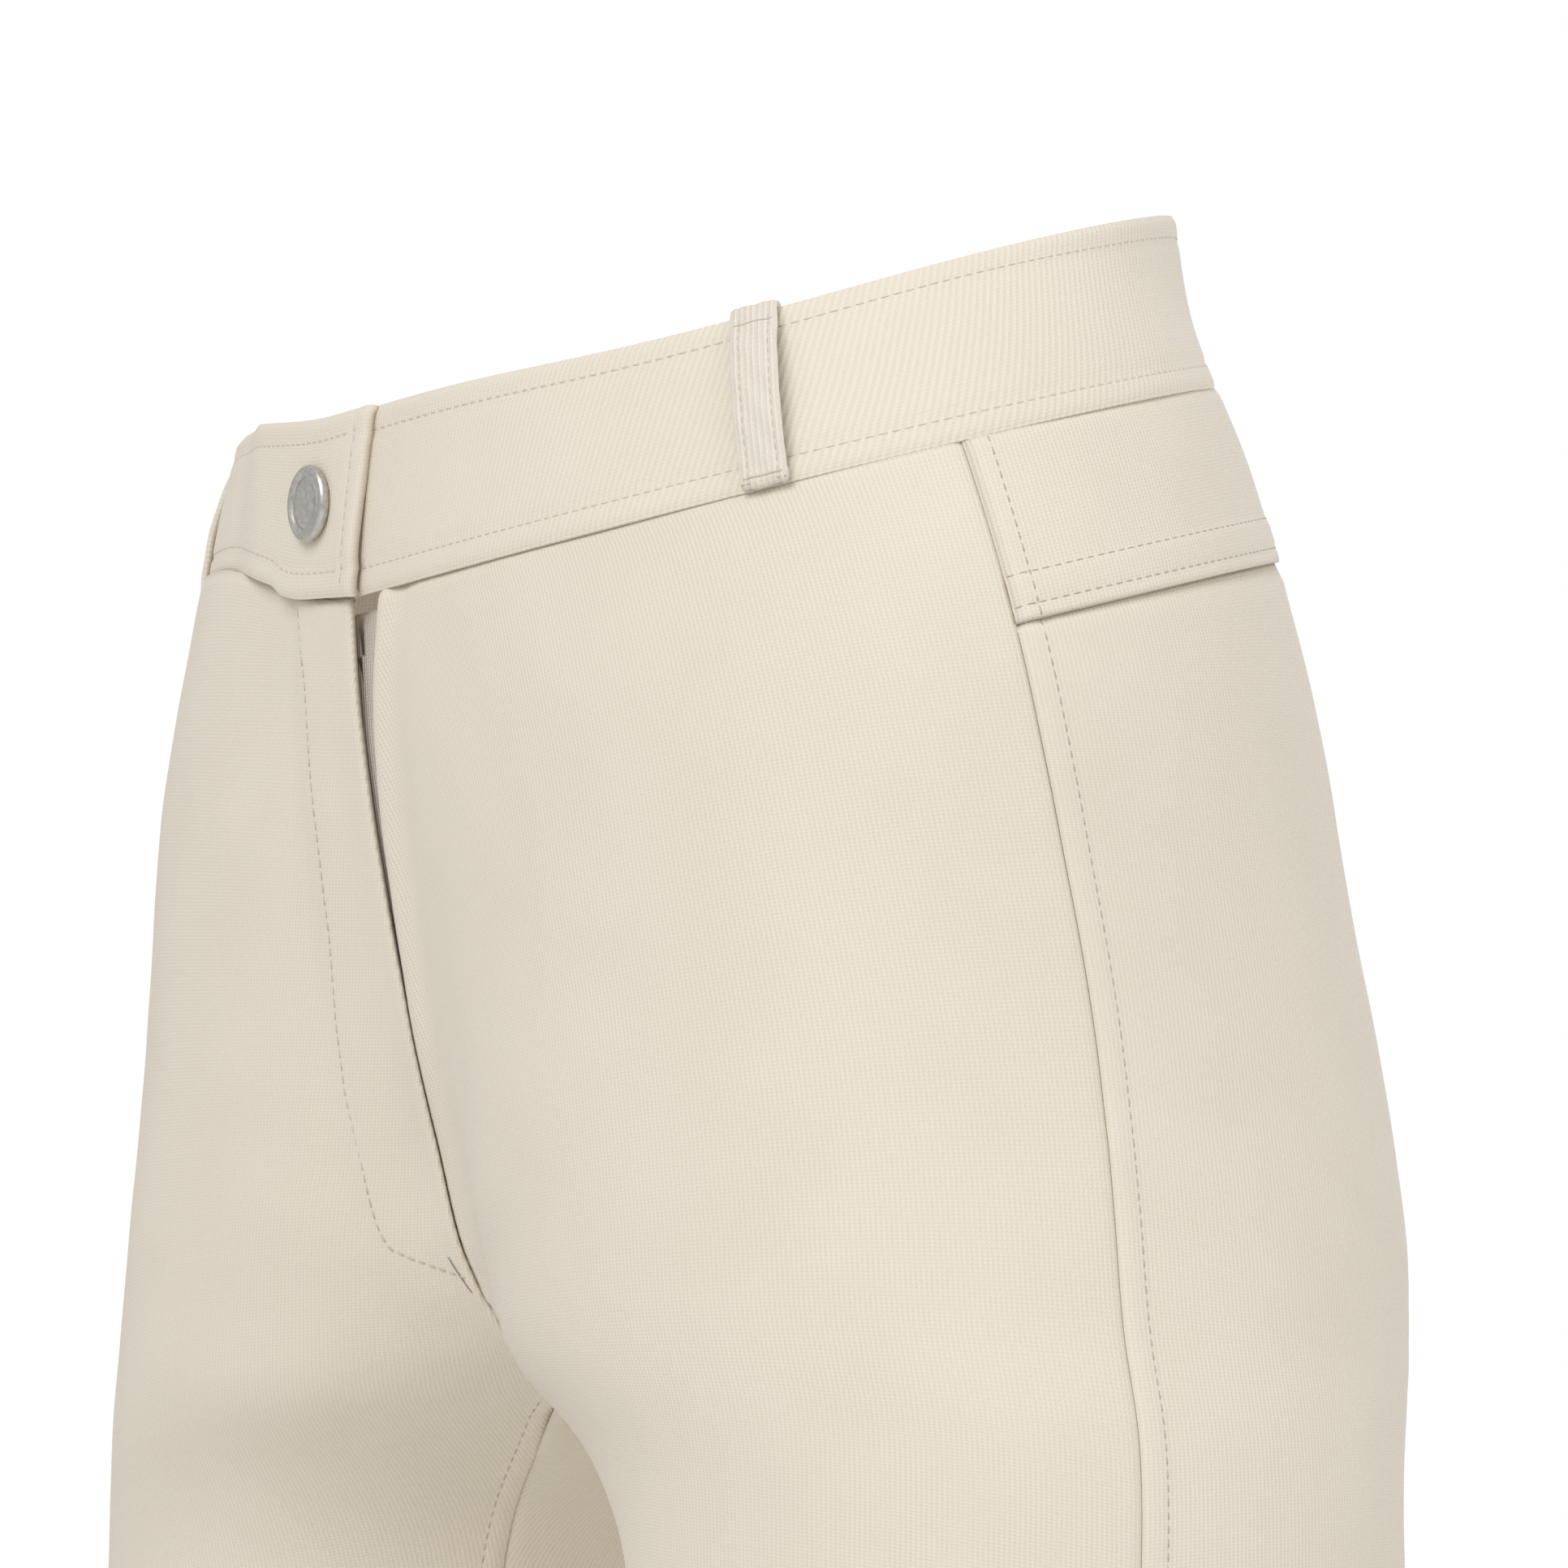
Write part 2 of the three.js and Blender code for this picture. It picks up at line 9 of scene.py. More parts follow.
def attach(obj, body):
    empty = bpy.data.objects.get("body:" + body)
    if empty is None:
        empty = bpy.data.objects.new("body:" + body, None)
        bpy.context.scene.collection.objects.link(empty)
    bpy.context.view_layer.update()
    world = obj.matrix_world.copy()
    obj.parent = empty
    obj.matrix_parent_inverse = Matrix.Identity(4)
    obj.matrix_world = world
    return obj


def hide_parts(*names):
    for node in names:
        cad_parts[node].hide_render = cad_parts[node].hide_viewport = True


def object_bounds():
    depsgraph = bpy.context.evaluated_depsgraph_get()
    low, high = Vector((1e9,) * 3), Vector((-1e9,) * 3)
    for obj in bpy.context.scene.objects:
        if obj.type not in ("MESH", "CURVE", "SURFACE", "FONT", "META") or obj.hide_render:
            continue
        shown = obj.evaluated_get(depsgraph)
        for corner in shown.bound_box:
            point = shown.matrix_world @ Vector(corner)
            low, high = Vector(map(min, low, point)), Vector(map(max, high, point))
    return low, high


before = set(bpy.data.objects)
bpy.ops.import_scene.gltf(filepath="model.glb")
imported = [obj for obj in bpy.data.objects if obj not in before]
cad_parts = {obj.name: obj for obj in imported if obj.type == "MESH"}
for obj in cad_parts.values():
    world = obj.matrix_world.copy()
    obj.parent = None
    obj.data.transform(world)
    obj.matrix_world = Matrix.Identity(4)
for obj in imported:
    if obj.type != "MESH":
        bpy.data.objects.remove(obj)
cadLow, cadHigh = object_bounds()
print("stage: frame loaded")

mm = 0.001

# the figure the cloth is cut for
# one row per height, in millimetres: the leg's middle, its half-width and depths,
# and how the legs blend into one body
figureColumns = ["z", "cx", "cy", "rx", "front", "back", "power", "blendFront", "blendBack"]
figureRows = np.array([
    [44, 0, 1, 126, 89, 91, 2.1, 0.1, 0.1],
    [4, 4, 1, 130.5, 89, 93, 2.1, 0.1, 0.1],
    [-46, 26, 2, 132, 90, 99, 2.1, 0.12, 0.14],
    [-96, 51, 2, 121, 90.5, 104, 2.1, 0.2, 0.3],
    [-146, 69, 4, 106, 91, 107, 2.1, 0.34, 0.46],
    [-186, 80, 6.5, 99.5, 93.5, 108, 2.1, 0.42, 0.55],
    [-216, 86, 8, 98, 95, 106.5, 2.1, 0.4, 0.45],
    [-241, 96, 8, 92.5, 93.5, 101, 2.1, 0.46, 0.4],
    [-266, 115, 8, 80, 87, 90, 2.1, 0.12, 0.12],
    [-306, 125, 8, 73.5, 84, 85, 2.1, 0.01, 0.01],
    [-396, 121, 5, 69.5, 80, 82.5, 2.05, 0.01, 0.01],
    [-496, 113, 1, 63, 71, 72.5, 2, 0.01, 0.01],
    [-581, 109, -2, 57, 62, 61, 2, 0.01, 0.01],
    [-636, 107, 4, 54, 56, 58, 2, 0.01, 0.01],
    [-706, 105, 14, 54, 54, 61, 2, 0.01, 0.01],
    [-796, 102, 18, 47, 46, 51, 2, 0.01, 0.01],
    [-896, 99, 18, 38, 39, 41, 2, 0.01, 0.01],
    [-981, 98, 16, 38, 40, 42, 2, 0.01, 0.01],
])
# seam paths: angle round the leg's middle, 0 inward, 90 to the front
sideSeam = np.array([[-20, 167], [-50, 168.2], [-100, 170.2], [-170, 173], [-240, 171.5],
                     [-300, 167.6], [-400, 167], [-581, 171], [-981, 175]], float)
inseam = np.array([[-250, 22], [-300, 22], [-400, 17], [-581, 11], [-981, 6]], float)
flyOpening = np.array([[-60, 12.4], [-68, 11.2], [-89, 6.2], [-115, 2.6], [-140, 1.1], [-160, 0]], float)

cut = {
    "waistTilt": 0.285, "bandDepth": 42.0, "yokeDepth": 84.5, "hemHeight": -981.0,
    "forkHeight": -262.0, "crotchY": 8.0, "crotchZ": -176.0, "crotchTurn": 58.0,
    "liftSeam": 16.0, "liftTop": 6.5, "clothWall": 1.3,
}


def curveAt(table, column, z):
    # smooth curve through a table that runs from the top down
    zs, vs = table[::-1, 0], table[::-1, column]
    z = np.clip(z, zs[0], zs[-1])
    i = np.clip(np.searchsorted(zs, z, side="right") - 1, 0, len(zs) - 2)
    slope = np.gradient(vs, zs)
    h = zs[i + 1] - zs[i]
    t = (z - zs[i]) / h
    return ((2 * t**3 - 3 * t**2 + 1) * vs[i] + (t**3 - 2 * t**2 + t) * h * slope[i]
            + (3 * t**2 - 2 * t**3) * vs[i + 1] + (t**3 - t**2) * h * slope[i + 1])


def ease(t):
    t = np.clip(t, 0.0, 1.0)
    return t * t * (3 - 2 * t)


def mix(a, b, t):
    return a + (b - a) * t


def sizesAt(z):
    return {name: curveAt(figureRows, k, z) for k, name in enumerate(figureColumns) if k}


def field(p):
    # below zero inside the figure
    s = sizesAt(p[..., 2])
    dy = p[..., 1] - s["cy"]
    depth = np.where(dy < 0, s["front"], s["back"])

    def oval(dx):
        return (np.abs(dx / s["rx"])**s["power"] + np.abs(dy / depth)**s["power"])**(1 / s["power"])

    left, right = oval(p[..., 0] - s["cx"]), oval(p[..., 0] + s["cx"])
    blend = np.maximum(1e-6, mix(s["blendFront"], s["blendBack"], ease((dy + 40) / 80)))
    meet = np.maximum(blend - np.abs(left - right), 0) / blend
    return np.minimum(left, right) - meet * meet * blend / 4 - 1


def wayOut(start, along, reach=260.0):
    start, along = np.broadcast_arrays(np.asarray(start, float), np.asarray(along, float))
    near = np.zeros(start.shape[:-1])
    far = np.full(start.shape[:-1], reach)
    for step in range(34):
        middle = (near + far) / 2
        inside = field(start + along * middle[..., None]) < 0
        near = np.where(inside, middle, near)
        far = np.where(inside, far, middle)
    return start + along * near[..., None]


def outward(p):
    step = 0.5
    n = np.stack([field(p + d) - field(p - d) for d in np.eye(3) * step], -1)
    return n / np.linalg.norm(n, axis=-1, keepdims=True)


def legPoint(angle, z):
    angle, z = np.broadcast_arrays(np.asarray(angle, float), np.asarray(z, float))
    s = sizesAt(z)
    a = np.radians(angle)
    return wayOut(np.stack([s["cx"], s["cy"], z], -1), np.stack([-np.cos(a), -np.sin(a), 0 * a], -1))


def waistPoint(angle, z):
    angle, z = np.broadcast_arrays(np.asarray(angle, float), np.asarray(z, float))
    a = np.radians(angle)
    return wayOut(np.stack([0 * z, 0 * z, z], -1), np.stack([np.sin(a), -np.cos(a), 0 * a], -1))


def frontPoint(x, z):
    x, z = np.broadcast_arrays(np.asarray(x, float), np.asarray(z, float))
    return wayOut(np.stack([x, sizesAt(z)["cy"], z], -1), np.array([0.0, -1.0, 0.0]))


def liftAt(angle):
    # the band stands a little higher at the right front
    return ease(np.asarray(angle) / -46) * (1 - ease((np.asarray(angle) + 80) / -55))


def waistHeight(angle, below, raised):
    z = np.zeros_like(np.asarray(angle, float)) - below
    for step in range(6):
        z = cut["waistTilt"] * waistPoint(angle, z)[..., 1] - below + raised * liftAt(angle)
    return z


def legHeight(angle, below, side):
    z = np.zeros_like(np.asarray(angle, float)) - below
    for step in range(6):
        p = legPoint(angle, z)
        around = np.degrees(np.arctan2(side * p[..., 0], -p[..., 1]))
        z = cut["waistTilt"] * p[..., 1] - below + cut["liftSeam"] * liftAt(around) * (around < 0)
    return z


def middlePoint(share, top, fromTurn, straight):
    # the centre seam: straight down, then round under the body
    y0, z0 = cut["crotchY"], cut["crotchZ"]
    if share < straight:
        z = mix(top, z0, share / straight)
        return wayOut([0, y0, z], [0, -1.0 if fromTurn == 0 else 1.0, 0])
    turn = math.radians(mix(fromTurn, cut["crotchTurn"], (share - straight) / (1 - straight)))
    return wayOut([0, y0, z0], [0, -math.cos(turn), -math.sin(turn)])


def middleFront(share):
    return middlePoint(share, cut["waistTilt"] * -88.5 - cut["bandDepth"], 0, 0.56)


def middleBack(share):
    return middlePoint(share, cut["waistTilt"] * 102 - cut["yokeDepth"], 180, 0.4)


def asAngle(p, behind):
    s = sizesAt(p[..., 2])
    return np.degrees(np.arctan2(s["cy"] - p[..., 1], s["cx"] - p[..., 0])) + (360 if behind else 0)


# folds and creases
# each row: two ends (x, y, z), half-width and height in millimetres; minus is a trough
foldRows = [
    # front left, beside the fly and over the thigh
    [14, -88, -80, 12, -80, -150, 9, -0.7],
    [24, -88, -72, 70, -86, -110, 14, -0.6],
    [30, -84, -190, 120, -74, -160, 16, -0.7],
    [26, -74, -222, 110, -84, -205, 12, -0.9],
    [20, -60, -236, 95, -86, -232, 9, 0.7],
    [34, -52, -250, 100, -84, -262, 10, -1.0],
    [60, -70, -262, 150, -70, -250, 15, 0.8],
    # side and seat
    [140, -50, -90, 172, -10, -120, 16, -0.5],
    [150, 40, -110, 110, 95, -150, 20, -0.8],
    [120, 90, -215, 40, 104, -205, 12, -1.1],
    [150, 70, -250, 60, 96, -236, 12, -1.0],
    [185, -5, -200, 195, 20, -262, 14, -0.5],
    # knee and calf
    [80, 62, -560, 140, 60, -572, 9, -1.4],
    [78, 60, -588, 142, 58, -596, 9, -1.5],
    [72, -50, -600, 140, -56, -590, 14, 0.8],
    [70, 58, -930, 130, 55, -940, 7, -0.9],
    [68, -20, -945, 128, -22, -952, 8, -0.8],
    # right front, under the tab
    [-16, -88, -84, -20, -84, -150, 4.5, 0.9],
    [-30, -88, -76, -66, -84, -104, 12, -0.7],
    [-60, -80, -190, -130, -68, -165, 16, -0.8],
]
mirroredFolds = 17      # rows from the first that both sides carry
swell = {"broad": 0.35, "broadSize": 34.0, "fine": 0.1, "fineSize": 9.0}


def foldOffset(p):
    # both sides carry alike folds; the right side's are mirrored a little lower and softer
    total = np.zeros(p.shape[:-1])
    for k, row in enumerate(foldRows):
        a, b = np.array(row[0:3], float), np.array(row[3:6], float)
        width, height = row[6], row[7]
        copies = [(a, b, 1.0)]
        if k < mirroredFolds:
            flip, drop = np.array([-1, 1, 1]), np.array([0, 0, -5.0 + 3.0 * (k % 3)])
            copies.append((a * flip + drop, b * flip + drop, 0.8))
        for start, end, strength in copies:
            run = end - start
            t = np.clip(((p - start) @ run) / (run @ run), 0, 1)
            away = np.linalg.norm(p - start - t[..., None] * run, axis=-1)
            fade = np.sin(np.pi * np.clip(t * 0.86 + 0.07, 0, 1))
            total = total + strength * height * fade * np.exp(-(away / width)**2)
    return total


def wander(p, size, seed):
    # slow uneven swell of the cloth, the same every run
    q = p / size + seed * 1.7
    x, y, z = q[..., 0], q[..., 1], q[..., 2]
    return (np.sin(x * 1.3 + 1.9 * np.sin(z * 0.7)) + np.sin(y * 1.7 + z * 1.1)
            + np.sin(z * 2.3 + x * 0.8 + 2.0)) / 3


def clothPoint(p, rise=0.0):
    n = outward(p)
    broad = swell["broad"] * wander(p, swell["broadSize"], 1.0)
    fine = swell["fine"] * wander(p, swell["fineSize"], 2.0)
    offset = foldOffset(p) + broad + fine + rise
    return p + n * np.asarray(offset)[..., None]


# helpers that make each piece's mesh
pieces = {}
faces = {}      # each cloth piece's outer face as a grid of points, for the stitching


def runAlong(points):
    # the length of each row up to each of its points
    lengths = np.linalg.norm(np.diff(points, axis=1), axis=-1)
    return np.concatenate([np.zeros((len(points), 1)), np.cumsum(lengths, axis=1)], 1)


def keepPiece(bm, name, slotName, *nodes):
    mesh = bpy.data.meshes.new(name)
    bm.to_mesh(mesh)
    bm.free()
    mesh.polygons.foreach_set("use_smooth", [True] * len(mesh.polygons))
    piece = bpy.data.objects.new(name, mesh)
    bpy.context.collection.objects.link(piece)
    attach(piece, "root")
    if nodes:
        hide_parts(*nodes)
    pieces[name] = piece
    return piece


def gridPiece(name, points, flat, slotName, flip, nodes, wall=None):
    # a grid of rows and columns moved onto its points, in millimetres, with flat cloth
    # coordinates in metres
    rows, across = points.shape[:2]
    faces[name] = points
    bm = bmesh.new()
    bmesh.ops.create_grid(bm, x_segments=across - 1, y_segments=rows - 1, size=0.5)
    bm.verts.ensure_lookup_table()
    corners = [(round(vert.co.y, 6), round(vert.co.x, 6)) for vert in bm.verts]
    order = sorted(range(len(corners)), key=corners.__getitem__)
    place = {}
    for k, index in enumerate(order):
        i, j = divmod(k, across)
        place[index] = (i, j)
        bm.verts[index].co = Vector(points[i, j]) * mm
    uv = bm.loops.layers.uv.new("cloth")
    for face in bm.faces:
        for corner in face.loops:
            i, j = place[corner.vert.index]
            corner[uv].uv = flat[i, j]
    if flip:
        bmesh.ops.reverse_faces(bm, faces=bm.faces[:])
    piece = keepPiece(bm, name, slotName, *nodes)
    if wall:
        shell = piece.modifiers.new("wall", "SOLIDIFY")
        shell.thickness = wall * mm
        shell.offset = -1.0
    return piece


def flatCoordinates(points, anchor):
    # lengths along the cloth: u across from the anchored edge, v down
    u = runAlong(points)
    if anchor == "end":
        u = u - u[:, -1:]
    down = np.linalg.norm(np.diff(points, axis=0), axis=-1).mean(1)
    v = -np.concatenate([[0], np.cumsum(down)])
    return np.stack([u, np.broadcast_to(v[:, None], u.shape)], -1) * mm


def nearSeam(distance, depth, width=1.3):
    # cloth rolls down into a seam
    return -depth * np.exp(-(distance / width)**2)


def besideStitch(distance, at, depth=0.28, width=0.8):
    return -depth * np.exp(-((distance - at) / width)**2)


# the four panels
panelCut = {
    "rowsYoke": 3, "rowsSeat": 9, "rowsLeg": 18, "legCrowding": 1.12,
    "fineRows": 9, "columns": 46, "seamRows": 12, "nearColumns": 26, "middleGap": 0.02,
    "leapAcross": 7.5, "leapDown": 12.0,
    "edgeSteps": [0.0, 0.5, 1.1, 1.9, 2.9, 4.0, 4.9, 5.6, 6.3, 7.2, 8.6, 10.6, 13.5],
    "stitchSide": 6.0, "stitchInseam": 5.5, "stitchHem": 20.0,
    "rollSide": 0.75, "rollInner": 0.7, "rollTop": 0.5, "rollYoke": 0.9,
    "feltRise": 0.4, "feltReach": 7.5, "inseamRise": 0.3, "inseamReach": 7.0,
}
flapCut = {"rise": 1.5, "width": 30.0, "slope": 7.0, "foot": -232.0, "footSlope": 14.0, "flyFoot": -224.0}
ridgeCut = {"rise": 0.9, "at": 3.0, "width": 2.2, "trough": 0.7, "troughAt": 10.0, "troughWidth": 5.0,
            "foot": -215.0, "fade": 60.0}
forkRow = panelCut["rowsYoke"] + panelCut["rowsSeat"]
hemRow = forkRow + panelCut["rowsLeg"]
sideTop = float(legHeight(np.array([168.0]), cut["bandDepth"], 1)[0])
sideYoke = float(legHeight(np.array([170.4]), cut["yokeDepth"], 1)[0])
frontCrotch = middleFront(1.0)


def sideHeight(row):
    rows = [0, panelCut["rowsYoke"], forkRow, hemRow]
    return np.interp(row, rows, [sideTop, sideYoke, cut["forkHeight"], cut["hemHeight"]])


def innerEnd(row, behind, side):
    # angle, height and point where a row meets the centre seam, the fly or the inseam
    if row <= forkRow:
        if behind:
            p = middleBack((row - panelCut["rowsYoke"]) / panelCut["rowsSeat"])
        else:
            p = middleFront(row / forkRow)
        if not behind and side > 0 and p[2] > -160:
            p = frontPoint(float(curveAt(flyOpening, 1, p[2])), p[2])
        return float(asAngle(p, behind)), float(p[2]), p
    share = ((row - forkRow) / panelCut["rowsLeg"])**panelCut["legCrowding"]
    z = mix(frontCrotch[2], cut["hemHeight"], share)
    angle = mix(asAngle(frontCrotch, False), curveAt(inseam, 1, z), ease((row - forkRow) / 2.5))
    return float(angle) + (360 if behind else 0), float(z), None


def panelGrid(side, behind):
    first = panelCut["rowsYoke"] if behind else 0
    rows = np.linspace(first, hemRow, (hemRow - first) * panelCut["fineRows"] + 1)
    steps = np.array(panelCut["edgeSteps"])
    sign = 1 if behind else -1
    angles, heights, ends = [], [], []
    for row in rows:
        nearAngle, nearZ, point = innerEnd(row, behind, side)
        sideZ = sideHeight(row)
        sideAngle = curveAt(sideSeam, 1, sideZ)
        near = nearAngle - sign * np.degrees(steps / 88)
        far = sideAngle + sign * np.degrees(steps / 84)
        middle = np.linspace(near[-1], far[-1], panelCut["columns"])
        line = np.concatenate([near[:-1], middle, far[-2::-1]])
        share = (line - nearAngle) / (sideAngle - nearAngle)
        angles.append(line)
        heights.append(mix(nearZ, sideZ, share))
        ends.append(point)
    angles, heights = np.array(angles), np.array(heights)
    below = cut["yokeDepth"] if behind else cut["bandDepth"]
    heights[0] = legHeight(angles[0], below, side)
    # the rows under the seam ease onto its slope
    seamRows = panelCut["seamRows"]
    for k in range(1, seamRows):
        sloping = heights[0] + (heights[seamRows] - heights[0]) * k / seamRows
        heights[k] = mix(heights[k], sloping, 1 - k / seamRows)
    p = legPoint(angles, heights)
    for i, point in enumerate(ends):
        if point is not None:
            shift = point - p[i, 0]
            if i == 0:
                shift[2] = 0
            p[i] += shift * np.exp(-(np.arange(p.shape[1]) / 1.5)[:, None]**2)
    # beside the fork the search can slip between the legs, so those points follow a straight line
    columns = panelCut["nearColumns"]
    for i, point in enumerate(ends):
        leap = np.linalg.norm(np.diff(p[i, :columns], axis=0), axis=1) > panelCut["leapAcross"]
        if point is not None and leap.any():
            good = int(np.nonzero(leap)[0].max()) + 2
            share = (angles[i, 1:good] - angles[i, 0]) / (angles[i, good] - angles[i, 0])
            p[i, 1:good] = mix(p[i, 0], p[i, good], share[:, None])
    drops = np.linalg.norm(np.diff(p, axis=0), axis=-1)
    leap = np.nonzero((drops > panelCut["leapDown"]).any(1))[0]
    if len(leap):
        above, below = leap.min(), leap.max() + 1
        for k in range(above + 1, below):
            share = (k - above) / (below - above)
            p[k, :columns] = mix(p[above, :columns], p[below, :columns], share)
    p[..., 0] = np.maximum(p[..., 0], panelCut["middleGap"])
    return p


def panel(name, side, behind):
    p = panelGrid(side, behind)
    p = p * np.array([side, 1, 1])
    fromInner = runAlong(p)
    fromSide = fromInner[:, -1:] - fromInner
    down = runAlong(p.transpose(1, 0, 2)).T
    fromHem = down[-1:] - down
    z = p[..., 2]
    rise = nearSeam(fromSide, panelCut["rollSide"]) + nearSeam(fromHem, panelCut["rollTop"])
    rise = rise + besideStitch(fromHem, panelCut["stitchHem"])
    if behind:
        # felled side: the allowances lie under the topstitched back panel
        rise = rise + panelCut["feltRise"] * ease((panelCut["feltReach"] - fromSide) / 2.0)
        rise = rise + besideStitch(fromSide, panelCut["stitchSide"])
        rise = rise + nearSeam(down, panelCut["rollYoke"]) + nearSeam(fromInner, panelCut["rollInner"])
        onSeat = z > frontCrotch[2] + 3
        rise = rise + besideStitch(fromInner, panelCut["stitchInseam"], 0.2) * onSeat
    else:
        rise = rise + nearSeam(down, panelCut["rollTop"])
        below = z < frontCrotch[2] - 2
        inseamRise = nearSeam(fromInner, panelCut["rollInner"])
        inseamRise = inseamRise + panelCut["inseamRise"] * ease((panelCut["inseamReach"] - fromInner) / 2)
        inseamRise = inseamRise + besideStitch(fromInner, panelCut["stitchInseam"])
        rise = rise + np.where(below, inseamRise, 0)
        onFly = (z > flapCut["flyFoot"]) & ~below
        if side < 0:
            # the flap is two layers thick out to its curved stitching
            flap = flapCut["rise"] * ease((flapCut["width"] - fromInner) / flapCut["slope"])
            flap = flap * ease((z - flapCut["foot"]) / flapCut["footSlope"])
            onFlap = onFly | (z > flapCut["foot"])
            rise = rise + np.where(onFlap, flap + nearSeam(fromInner, 0.6, 0.8), 0)
        else:
            # a folded edge, with a shallow trough beside it
            ridge = ridgeCut["rise"] * np.exp(-((fromInner - ridgeCut["at"]) / ridgeCut["width"])**2)
            trough = (fromInner - ridgeCut["troughAt"]) / ridgeCut["troughWidth"]
            ridge = ridge - ridgeCut["trough"] * np.exp(-trough**2)
            rise = rise + np.where(onFly, ridge * ease((z - ridgeCut["foot"]) / ridgeCut["fade"]), 0)
        rise = rise + np.where(~onFly & ~below, nearSeam(fromInner, panelCut["rollInner"]), 0)
    outer = clothPoint(p, rise)
    outer[..., 0] = side * np.maximum(side * outer[..., 0], panelCut["middleGap"])
    flip = (side > 0) != behind
    return gridPiece(name, outer, flatCoordinates(p, "end"), "cloth", flip, [name], cut["clothWall"])


panel("front_left", 1, False)
panel("front_right", -1, False)
panel("back_left", 1, True)
panel("back_right", -1, True)
print("stage: panels")


# the back yokes
yokeCut = {
    "rows": 44, "columns": 66, "centreDepth": 101.0, "slopeLength": 1.04, "stitchLow": 3.4, "stitchHigh": 10.6,
    "foldRise": 0.45, "foldReach": 12.5,
}


def yoke(name, side):
    share = np.linspace(0, 1, yokeCut["rows"] + 1)
    below = mix(cut["bandDepth"], cut["yokeDepth"], share)
    lines = []
    for row, depth in enumerate(below):
        sideZ = sideHeight(panelCut["rowsYoke"] * share[row])
        centreZ = cut["waistTilt"] * yokeCut["centreDepth"] - depth
        centre = wayOut([0, 0, centreZ], [0, 1.0, 0])
        across = np.linspace(0, 1, yokeCut["columns"] + 1)
        angle = mix(float(asAngle(centre, True)), curveAt(sideSeam, 1, sideZ), across)
        line = legPoint(angle, legHeight(angle, depth, side))
        line[0, 0] = panelCut["middleGap"]
        lines.append(line)
    p = np.array(lines)
    p[..., 0] = np.maximum(p[..., 0], panelCut["middleGap"])
    p = p * np.array([side, 1, 1])
    fromInner = runAlong(p)
    fromSide = fromInner[:, -1:] - fromInner
    fromFoot = (cut["yokeDepth"] - below)[:, None] * yokeCut["slopeLength"] + 0 * fromInner
    fromTop = (below - cut["bandDepth"])[:, None] * yokeCut["slopeLength"] + 0 * fromInner
    rise = nearSeam(fromSide, panelCut["rollSide"]) + nearSeam(fromInner, panelCut["rollInner"])
    rise = rise + nearSeam(fromTop, panelCut["rollTop"])
    rise = rise + yokeCut["foldRise"] * ease((yokeCut["foldReach"] - fromFoot) / 2.5)
    rise = rise + nearSeam(fromFoot, 0.25, 0.7) + besideStitch(fromFoot, yokeCut["stitchLow"])
    rise = rise + besideStitch(fromFoot, yokeCut["stitchHigh"])
    rise = rise + panelCut["feltRise"] * ease((panelCut["feltReach"] - fromSide) / 2.0)
    rise = rise + besideStitch(fromSide, panelCut["stitchSide"])
    outer = clothPoint(p, rise)
    return gridPiece(name, outer, flatCoordinates(p, "end"), "cloth", side < 0, [name], cut["clothWall"])


yoke("yoke_left", 1)
yoke("yoke_right", -1)
print("stage: yokes")


# the waistband
bandCut = {
    "columns": 560, "rows": 26, "wall": 2.0, "proud": 0.4, "tabProud": 3.1, "farProud": -1.3,
    "tabTop": 8.6, "tabFoot": 2.9, "end": -384.0, "sag": 3.0, "sagAngle": 60.0, "sagWidth": 24.0,
    "stitchTop": 5.5, "stitchFoot": 6.0, "stitchTab": 5.6, "dent": 0.35, "dentWidth": 1.0,
    "endColumns": 12, "millimetresPerDegree": 1.58, "slopeLength": 0.97, "tabLength": 40.0,
    "lift": 0.8, "liftLength": 12.0, "puff": 0.5, "puffAt": 24.0, "waveHeight": 0.9, "waveLength": 7.0,
}


def bandOffset(angle):
    # proud where it laps, drawn in past the underlap, and plain from the far hip on
    pastUnderlap = ease((np.asarray(angle) + 25) / -15)
    pastHip = ease((np.asarray(angle) + 80) / -42)
    lapped = mix(bandCut["tabProud"], bandCut["farProud"], pastUnderlap)
    return mix(lapped, bandCut["proud"], pastHip)


def bandDip(angle):
    # the band is a little narrower over each hip
    return bandCut["sag"] * np.exp(-((np.abs(angle) - bandCut["sagAngle"]) / bandCut["sagWidth"])**2)


def turned(angle):
    angle = np.where(np.asarray(angle) < -360, np.asarray(angle) + 360, angle)
    return np.where(angle < -180, angle + 360, angle)


def bandPoint(angle, share, rise=0.0):
    # angle runs from the tab's end, round the right side and back, to the underlap
    where = turned(angle)
    top = waistHeight(where, 0.0, cut["liftTop"]) - bandDip(where)
    foot = waistHeight(where, cut["bandDepth"], cut["liftSeam"])
    p = waistPoint(where, mix(top, foot, share))
    uneven = 0.3 * wander(p, 30.0, 3.0)
    return p + outward(p) * (bandOffset(angle) + uneven + rise)[..., None]


